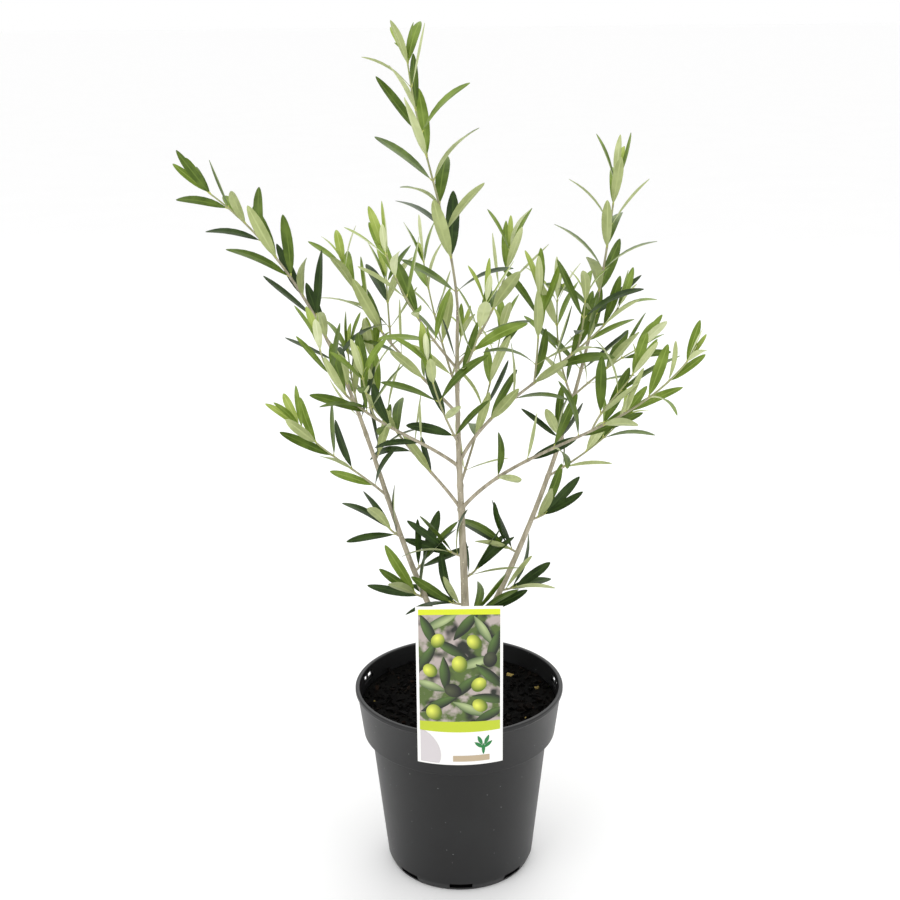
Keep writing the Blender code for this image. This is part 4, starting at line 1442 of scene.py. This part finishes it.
@dataclass
class LeafShapes:
    """The leaves, each form modelled once: a lens-shaped blade on a short stalk, a metre long.

    The root is at the origin, the leaf runs up +Z, its upper face looks along +Y.
    """

    slimness: float = 5.4
    stalk_radius: float = 0.0125
    thickness: float = 0.0080
    section: tuple[float, ...] = (180, 132, 96, 84, 48, 0, 277, 263)
    stations: tuple[tuple[float, float], ...] = (
        (0.075, 0.14), (0.13, 0.36), (0.22, 0.64), (0.34, 0.87), (0.48, 0.99), (0.62, 1.0), (0.75, 0.89),
        (0.86, 0.67), (0.94, 0.42), (0.985, 0.19), (1.0, 0.03))

    def straight(self) -> bpy.types.Object:
        """The straight leaf, extruded ring by ring from its stalk."""
        deselect()
        bpy.ops.mesh.primitive_circle_add(vertices=len(self.section), radius=self.stalk_radius,
                                          fill_type="NGON", location=(0, 0, 0))
        leaf = bpy.context.object
        leaf.name = "leaf_straight"
        for vert, angle in zip(leaf.data.vertices, self.section):
            turned = math.radians(angle)
            vert.co = (self.stalk_radius * math.cos(turned), self.stalk_radius * math.sin(turned), 0)
        bpy.ops.object.mode_set(mode="EDIT")
        bpy.ops.mesh.select_all(action="SELECT")
        half = 0.5 / self.slimness
        wide, thick, low = self.stalk_radius, self.stalk_radius, 0.0
        for along, fullness in self.stations:
            next_wide = max(half * fullness, 0.001)
            next_thick = self.thickness * (0.5 + 0.5 * fullness) if fullness > 0.1 else 0.001
            bpy.ops.mesh.extrude_region_move(TRANSFORM_OT_translate={"value": (0, 0, along - low)})
            bpy.ops.transform.resize(value=(next_wide / wide, next_thick / thick, 1),
                                     center_override=(0, 0, along))
            wide, thick, low = next_wide, next_thick, along
        bpy.ops.mesh.select_all(action="SELECT")
        bpy.ops.mesh.normals_make_consistent(inside=False)
        bpy.ops.object.mode_set(mode="OBJECT")
        self.sort_faces(leaf)
        return leaf

    def sort_faces(self, leaf: bpy.types.Object) -> None:
        """Deals the faces: the stalk, then the blade's upper side, its midrib, its underside and its vein."""
        stalk_end = self.stations[0][0]
        for face in leaf.data.polygons:
            across = [leaf.data.vertices[index].co.x for index in face.vertices]
            on_rib = min(across) < 0 < max(across)
            if face.center.z < stalk_end:
                face.material_index = LeafFaceKind.STALK.value
            elif face.center.y < 0:
                face.material_index = (LeafFaceKind.VEIN if on_rib else LeafFaceKind.UNDER).value
            else:
                face.material_index = (LeafFaceKind.MIDRIB if on_rib else LeafFaceKind.UPPER).value

    def forms(self) -> dict[Bend, bpy.types.Object]:
        """Every form: the straight leaf channelled, arched and twisted.

        Returns:
            A template for each bend.
        """
        straight = self.straight()
        made = {}
        for bend in Bend:
            form = twin(straight, Matrix.Identity(4))
            form.name = f"leaf_{bend.value.name}"
            for axis, method, degrees in (("Z", "BEND", bend.value.channel), ("Z", "TWIST", bend.value.twist),
                                          ("X", "BEND", bend.value.arch)):
                apply_modifier(form, "SIMPLE_DEFORM", deform_method=method, deform_axis=axis,
                               angle=math.radians(degrees))
            pick(form)
            bpy.ops.object.shade_smooth_by_angle(angle=math.radians(50))
            made[bend] = form
        discard([straight])
        return made


@dataclass
class LeafPalette:
    """The leaves' finishes in four shades, dark to pale: stalk, upper side, midrib, underside and vein."""

    stalk: tuple[str, ...] = ("#a9ae5c", "#bcc168", "#c9ce74", "#d8dc8e")
    upper: tuple[str, ...] = ("#22360e", "#465c15", "#687f27", "#96a948")
    midrib: tuple[str, ...] = ("#3b5120", "#657b2e", "#889e46", "#b1c069")
    under: tuple[str, ...] = ("#8f9a5f", "#a0ab6e", "#b6c084", "#ced6a2")
    vein: tuple[str, ...] = ("#a8b277", "#b9c387", "#ccd49d", "#e0e6ba")

    def make(self) -> list[bpy.types.Material]:
        """Builds the materials, five for each shade."""
        made = []
        shades = zip(self.stalk, self.upper, self.midrib, self.under, self.vein)
        for shade, (stalk, above, rib, below, vein) in enumerate(shades, start=1):
            made.append(LeafFace(f"leaf_stalk_{shade}", stalk, 0.50, 1.45).make())
            made.append(LeafFace(f"leaf_cuticle_{shade}", above, 0.42, 1.46, fleck=rib).make())
            made.append(LeafFace(f"leaf_midrib_{shade}", rib, 0.46, 1.45).make())
            made.append(LeafFace(f"leaf_scale_felt_{shade}", below, 0.72, 1.40, sheen=0.25, fleck=vein).make())
            made.append(LeafFace(f"leaf_vein_{shade}", vein, 0.66, 1.40).make())
        return made


@dataclass
class OliveFoliage:
    """Every twig and leaf, grown node by node on the shoots and joined by part of the crown."""

    growth: Growth
    bark: bpy.types.Material
    shapes: LeafShapes = field(default_factory=LeafShapes)
    palette: LeafPalette = field(default_factory=LeafPalette)
    seed: int = 4173
    shade_varies: float = 0.42
    spread: tuple[float, float] = (54, 30)
    spread_varies: float = 10
    roll_varies: float = 12
    lift: tuple[float, float] = (0.14, 0.34)
    faces_up: float = 0.55
    faces_front: float = 0.14
    beside: float = 1.5
    spin: float = 14
    length_varies: tuple[float, float] = (0.92, 1.12)
    width_varies: tuple[float, float] = (0.90, 1.12)
    limb_clearance: float = 0.0016
    tries: int = 7
    twig_step: float = 0.003
    twig_bevel: int = 2
    bend_shares: tuple[float, ...] = (8, 16, 8, 26, 26, 6, 6, 4)
    side_length: tuple[float, float] = (0.016, 0.040)
    spray_length: float = 0.014
    tip_leaves: tuple[tuple[float, float], ...] = ((0, 0.92), (180, 0.70), (90, 0.40))
    templates: dict[Bend, bpy.types.Object] = field(default_factory=dict)
    materials: list[bpy.types.Material] = field(default_factory=list)
    leaves: dict[CrownPart, list[bpy.types.Object]] = field(default_factory=dict)
    runs: dict[CrownPart, list[Run]] = field(default_factory=dict)
    nodes: dict[CrownPart, set[str]] = field(default_factory=dict)

    def prepare(self) -> None:
        """Makes the templates, their materials and the look-up of what leaves keep clear of."""
        self.rng = random.Random(self.seed)
        self.templates = self.shapes.forms()
        self.materials = self.palette.make()
        for template in self.templates.values():
            for material in self.materials:
                template.data.materials.append(material)
        for part in CrownPart:
            self.leaves[part], self.runs[part], self.nodes[part] = [], [], set()
        entries = []
        for shoot in (TRUNK, *STEMS, *BOUGHS):
            entries += self.growth.run(shoot.name, 0.0, shoot.bare, 0.003)
        self.wood = KDTree(len(entries))
        self.wood_radii = [radius for _, radius in entries]
        for number, (place, _) in enumerate(entries):
            self.wood.insert(place, number)
        self.wood.balance()

    def clear(self, root: Vector, aim: Vector, length: float) -> bool:
        """Whether a leaf's outer part keeps clear of the limbs."""
        for share in (0.35, 0.55, 0.75, 1.0):
            _, number, distance = self.wood.find(root + aim * length * share)
            if distance < self.wood_radii[number] + self.limb_clearance:
                return False
        return True

    def aim(self, course: Vector, side: Vector, spread: float, roll: float) -> Vector:
        """The direction of a leaf that spreads from its twig.

        Args:
            course: The twig's direction.
            side: A level direction across the twig.
            spread: The angle from the twig, in degrees.
            roll: The angle round the twig, in degrees.

        Returns:
            The leaf's direction at its root.
        """
        around = math.radians(roll)
        outwards = side * math.cos(around) + course.cross(side) * math.sin(around)
        opened = math.radians(spread)
        lift = Vector((0, 0, self.lift[0] + self.lift[1] * course.xy.length))
        return (course * math.cos(opened) + outwards * math.sin(opened) + lift).normalized()

    def add_leaf(self, shoot: Shoot, place: Vector, course: Vector, length: float, spread: float,
                 roll: float, share: float) -> None:
        """Sets one leaf on a twig, turning it away from any limb in its way.

        Args:
            shoot: The shoot it grows on.
            place: The node's place.
            course: The twig's direction there.
            length: The leaf's length.
            spread: Its angle from the twig, in degrees.
            roll: Its angle round the twig, in degrees.
            share: How far up the leafy part of the shoot it stands, from 0 to 1, or over 1 at its tip.
        """
        heading = math.radians(shoot.heading)
        side = Vector((-math.sin(heading), math.cos(heading), 0))
        for attempt in range(self.tries):
            turned = roll + (attempt + 1) // 2 * (-1) ** attempt * 14
            aim = self.aim(course, side, spread - 3 * attempt, turned)
            if self.clear(place, aim, length):
                break
        else:
            return
        # Leaves beside the shoot turn to the light at the front, those before and behind it stay as they are
        to_front = (shoot.front + self.faces_front * course.xy.length) * max(1 - self.beside * abs(aim.y), 0)
        inwards = (course + Vector((0, 0, self.faces_up))).normalized() + Vector((0, -to_front, 0))
        face = (inwards - aim * inwards.dot(aim)).normalized()
        face = Matrix.Rotation(math.radians(self.rng.gauss(0, self.spin)), 3, aim) @ face
        across = face.cross(aim)
        width = length * self.rng.uniform(*self.width_varies)
        turned_to = Matrix((across * width, face * length, aim * length)).transposed().to_4x4()
        bend = self.rng.choices(list(Bend), self.bend_shares)[0]
        leaf = twin(self.templates[bend], Matrix.Translation(place) @ turned_to)
        first, last = shoot.flush.value
        step = first + (last - first) * share * share + self.rng.gauss(0, self.shade_varies)
        shade = min(max(round(step), 0), len(self.palette.upper) - 1)
        indices = [0] * len(leaf.data.polygons)
        leaf.data.polygons.foreach_get("material_index", indices)
        leaf.data.polygons.foreach_set("material_index", [index + len(LeafFaceKind) * shade for index in indices])
        self.leaves[shoot.part].append(leaf)

    def dress(self, shoot: Shoot, shrink: float = 1.0) -> None:
        """Grows a shoot's pairs of leaves, its small side shoots and the closed leaves at its tip."""
        places = self.growth.nodes_of(shoot)
        for pair, along in enumerate(places):
            share = pair / max(len(places) - 1, 1)
            place, course = self.growth.at(shoot.name, along)
            self.growth.swellings[shoot.name].append(along)
            turned = shoot.roll + 90 * pair + self.rng.uniform(-self.roll_varies, self.roll_varies)
            for way in (0, 180):
                length = blended(shoot.leaf, share) * self.rng.uniform(*self.length_varies) * shrink
                spread = self.spread[0] + (self.spread[1] - self.spread[0]) * share
                spread += self.rng.uniform(-self.spread_varies, self.spread_varies)
                self.add_leaf(shoot, place, course, length, spread, turned + way, share)
            if share < 0.85 and self.rng.random() < shoot.side_shoots:
                self.side_shoot(shoot, along, turned + self.rng.choice((0, 180)))
        place, course = self.growth.at(shoot.name, shoot.length)
        for way, share in self.tip_leaves[:shoot.tips]:
            length = shoot.leaf[2] * share * self.rng.uniform(*self.length_varies)
            self.add_leaf(shoot, place, course, length, 8 + 8 * share, turned + 90 + way, 1.2)

    def side_shoot(self, shoot: Shoot, along: float, roll: float) -> None:
        """A small shoot from a leaf's axil, with a pair or two of short leaves."""
        place, course = self.growth.at(shoot.name, along)
        heading = math.radians(shoot.heading)
        side = Vector((-math.sin(heading), math.cos(heading), 0))
        aim = (self.aim(course, side, 40, roll) + Vector((0, 0, 0.25))).normalized()
        level = math.degrees(math.atan2(aim.y, aim.x))
        climb = math.degrees(math.asin(aim.z))
        length = self.rng.uniform(*self.side_length)
        name = f"{shoot.name}_axil_{len(self.growth.shoots)}"
        small = Shoot(name, shoot.name, along, level, (climb, climb + 6, climb + 10), length,
                      (0.0008, 0.0005), shoot.part, joins=shoot.name, pairs=1 if length < 0.026 else 2,
                      roll=self.rng.uniform(0, 90), leaf=(0.040, 0.038, 0.032), flush=shoot.flush)
        self.growth.add(small)
        self.dress(small)
        self.twig(small)

    def twig(self, shoot: Shoot) -> None:
        """Keeps the run of a shoot's twig for its part of the crown."""
        start = shoot.bare - 0.002 if shoot.bare else -self.growth.radius(shoot.parent, shoot.along) * 0.5
        if shoot.parent and shoot.along >= self.growth.shoots[shoot.parent].length:
            start = 0.0
        self.runs[shoot.part].append(self.growth.run(shoot.name, start, shoot.length, self.twig_step))

    def sprays(self) -> list[Shoot]:
        """The short sprays on the lower stems, as shoots."""
        made = []
        for number, (parent, along, heading, climb) in enumerate(SPRAY_PLACES, start=1):
            made.append(Shoot(f"{parent}_spray_{number}", parent, along, heading,
                              (climb, climb + 6, climb + 12), self.spray_length, (0.0011, 0.0008),
                              CrownPart.LOW_SPRAYS, pairs=2, roll=15.0 * number,
                              leaf=(0.050, 0.053, 0.050), flush=Flush.OLD, front=0.3, tips=1))
        return made

    def build(self) -> None:
        """Grows the whole crown and joins it, twigs and leaves apart."""
        self.prepare()
        shoots = [*STEMS, *BOUGHS, *LEAFY, *SIDE_TWIGS]
        sprays = self.sprays()
        for shoot in sprays:
            self.growth.add(shoot)
        for shoot in shoots + sprays:
            self.dress(shoot)
            self.twig(shoot)
            self.nodes[shoot.part].add(f"{shoot.joins or shoot.name}_foliage")
        for part in CrownPart:
            nodes = sorted(self.nodes[part])
            twigs = sweep(f"{part.value}_twigs", self.runs[part], self.twig_bevel)
            twigs.data.materials.append(self.bark)
            keep(twigs, "leaves", *nodes)
            leaves = join(f"{part.value}_leaves", self.leaves[part])
            LOG.info("%s: %d leaves", part.value, len(self.leaves[part]))
            keep(leaves, "leaves", *nodes)
        discard(self.templates.values())


def blended(values: tuple[float, float, float], share: float) -> float:
    """The value at a share of the way through foot, middle and tip."""
    foot, middle, tip = values
    if share < 0.5:
        return foot + (middle - foot) * share * 2
    return middle + (tip - middle) * (share * 2 - 1)


# Studio

@dataclass(frozen=True)
class SoftLight:
    """A square studio light: where it hangs, how wide it is, and its power in watts."""

    name: str
    place: tuple[float, float, float]
    width: float
    power: float


@dataclass
class Studio:
    """White paper, soft lights from both sides and above, and the camera at the photograph's angle."""

    floor_width: float = 160.0
    look_at: tuple[float, float, float] = (0.0, 0.0, 0.42)
    sky: str = "#ffffff"
    sky_strength: float = 1.0
    lights: tuple[SoftLight, ...] = (
        SoftLight("key_light", (-1.5, -1.7, 2.3), 1.6, 14),
        SoftLight("fill_light", (1.8, -1.4, 1.5), 1.6, 6),
        SoftLight("back_light", (0.4, 1.9, 2.2), 1.8, 14),
    )
    camera_place: tuple[float, float, float] = (-0.0066, -1.2, 0.8033)
    camera_pitch: float = 17.64
    camera_roll: float = -0.0096
    lens: float = 55.05
    sensor: float = 36.0

    def floor(self) -> None:
        """Lays the paper on the ground."""
        deselect()
        bpy.ops.mesh.primitive_plane_add(size=self.floor_width, location=(0, 0, -0.0002))
        paper = bpy.context.object
        paper.name = "studio_floor"
        settle(paper)
        paper.data.materials.append(StudioPaper("studio_paper", "#fdfdfd", 0.9).make())

    def light(self) -> None:
        """Hangs the lights and sets the sky."""
        world = bpy.data.worlds.new("studio_sky")
        world.use_nodes = True
        world.node_tree.nodes["Background"].inputs["Color"].default_value = linear(self.sky)
        world.node_tree.nodes["Background"].inputs["Strength"].default_value = self.sky_strength
        bpy.context.scene.world = world
        bpy.context.scene.view_settings.view_transform = "Standard"
        for light in self.lights:
            towards = Vector(self.look_at) - Vector(light.place)
            bpy.ops.object.light_add(type="AREA", location=light.place,
                                     rotation=towards.to_track_quat("-Z", "Y").to_euler())
            lamp = bpy.context.object
            lamp.name = light.name
            lamp.data.shape = "SQUARE"
            lamp.data.size = light.width
            lamp.data.energy = light.power

    def camera(self) -> None:
        """Sets the camera where the photograph was taken from."""
        bpy.ops.object.camera_add(location=self.camera_place)
        eye = bpy.context.object
        eye.name = "photograph_camera"
        tilt = Matrix.Rotation(math.radians(90 - self.camera_pitch), 4, "X")
        eye.rotation_euler = (tilt @ Matrix.Rotation(self.camera_roll, 4, "Z")).to_euler()
        eye.data.sensor_width = self.sensor
        eye.data.lens = self.lens
        bpy.context.scene.camera = eye

    def build(self) -> None:
        """Sets up the studio."""
        self.floor()
        self.light()
        self.camera()


def main() -> None:
    """Builds the studio, the pot with its mix and card, and the olive."""
    logging.basicConfig(level=logging.INFO, format="%(message)s")
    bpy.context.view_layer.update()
    Studio().build()
    pot = NurseryPot()
    pot.build()
    PottingMix(pot).build()
    PictureCard(pot).build()
    growth = Growth()
    for shoot in (TRUNK, *STEMS, *BOUGHS, *LEAFY, *SIDE_TWIGS):
        growth.add(shoot)
    bark = OliveBark("young_olive_bark", "#b3aa95", 0.72).make()
    OliveWood(growth, bark).build()
    OliveFoliage(growth, bark).build()


if __name__ == "__main__":
    main()
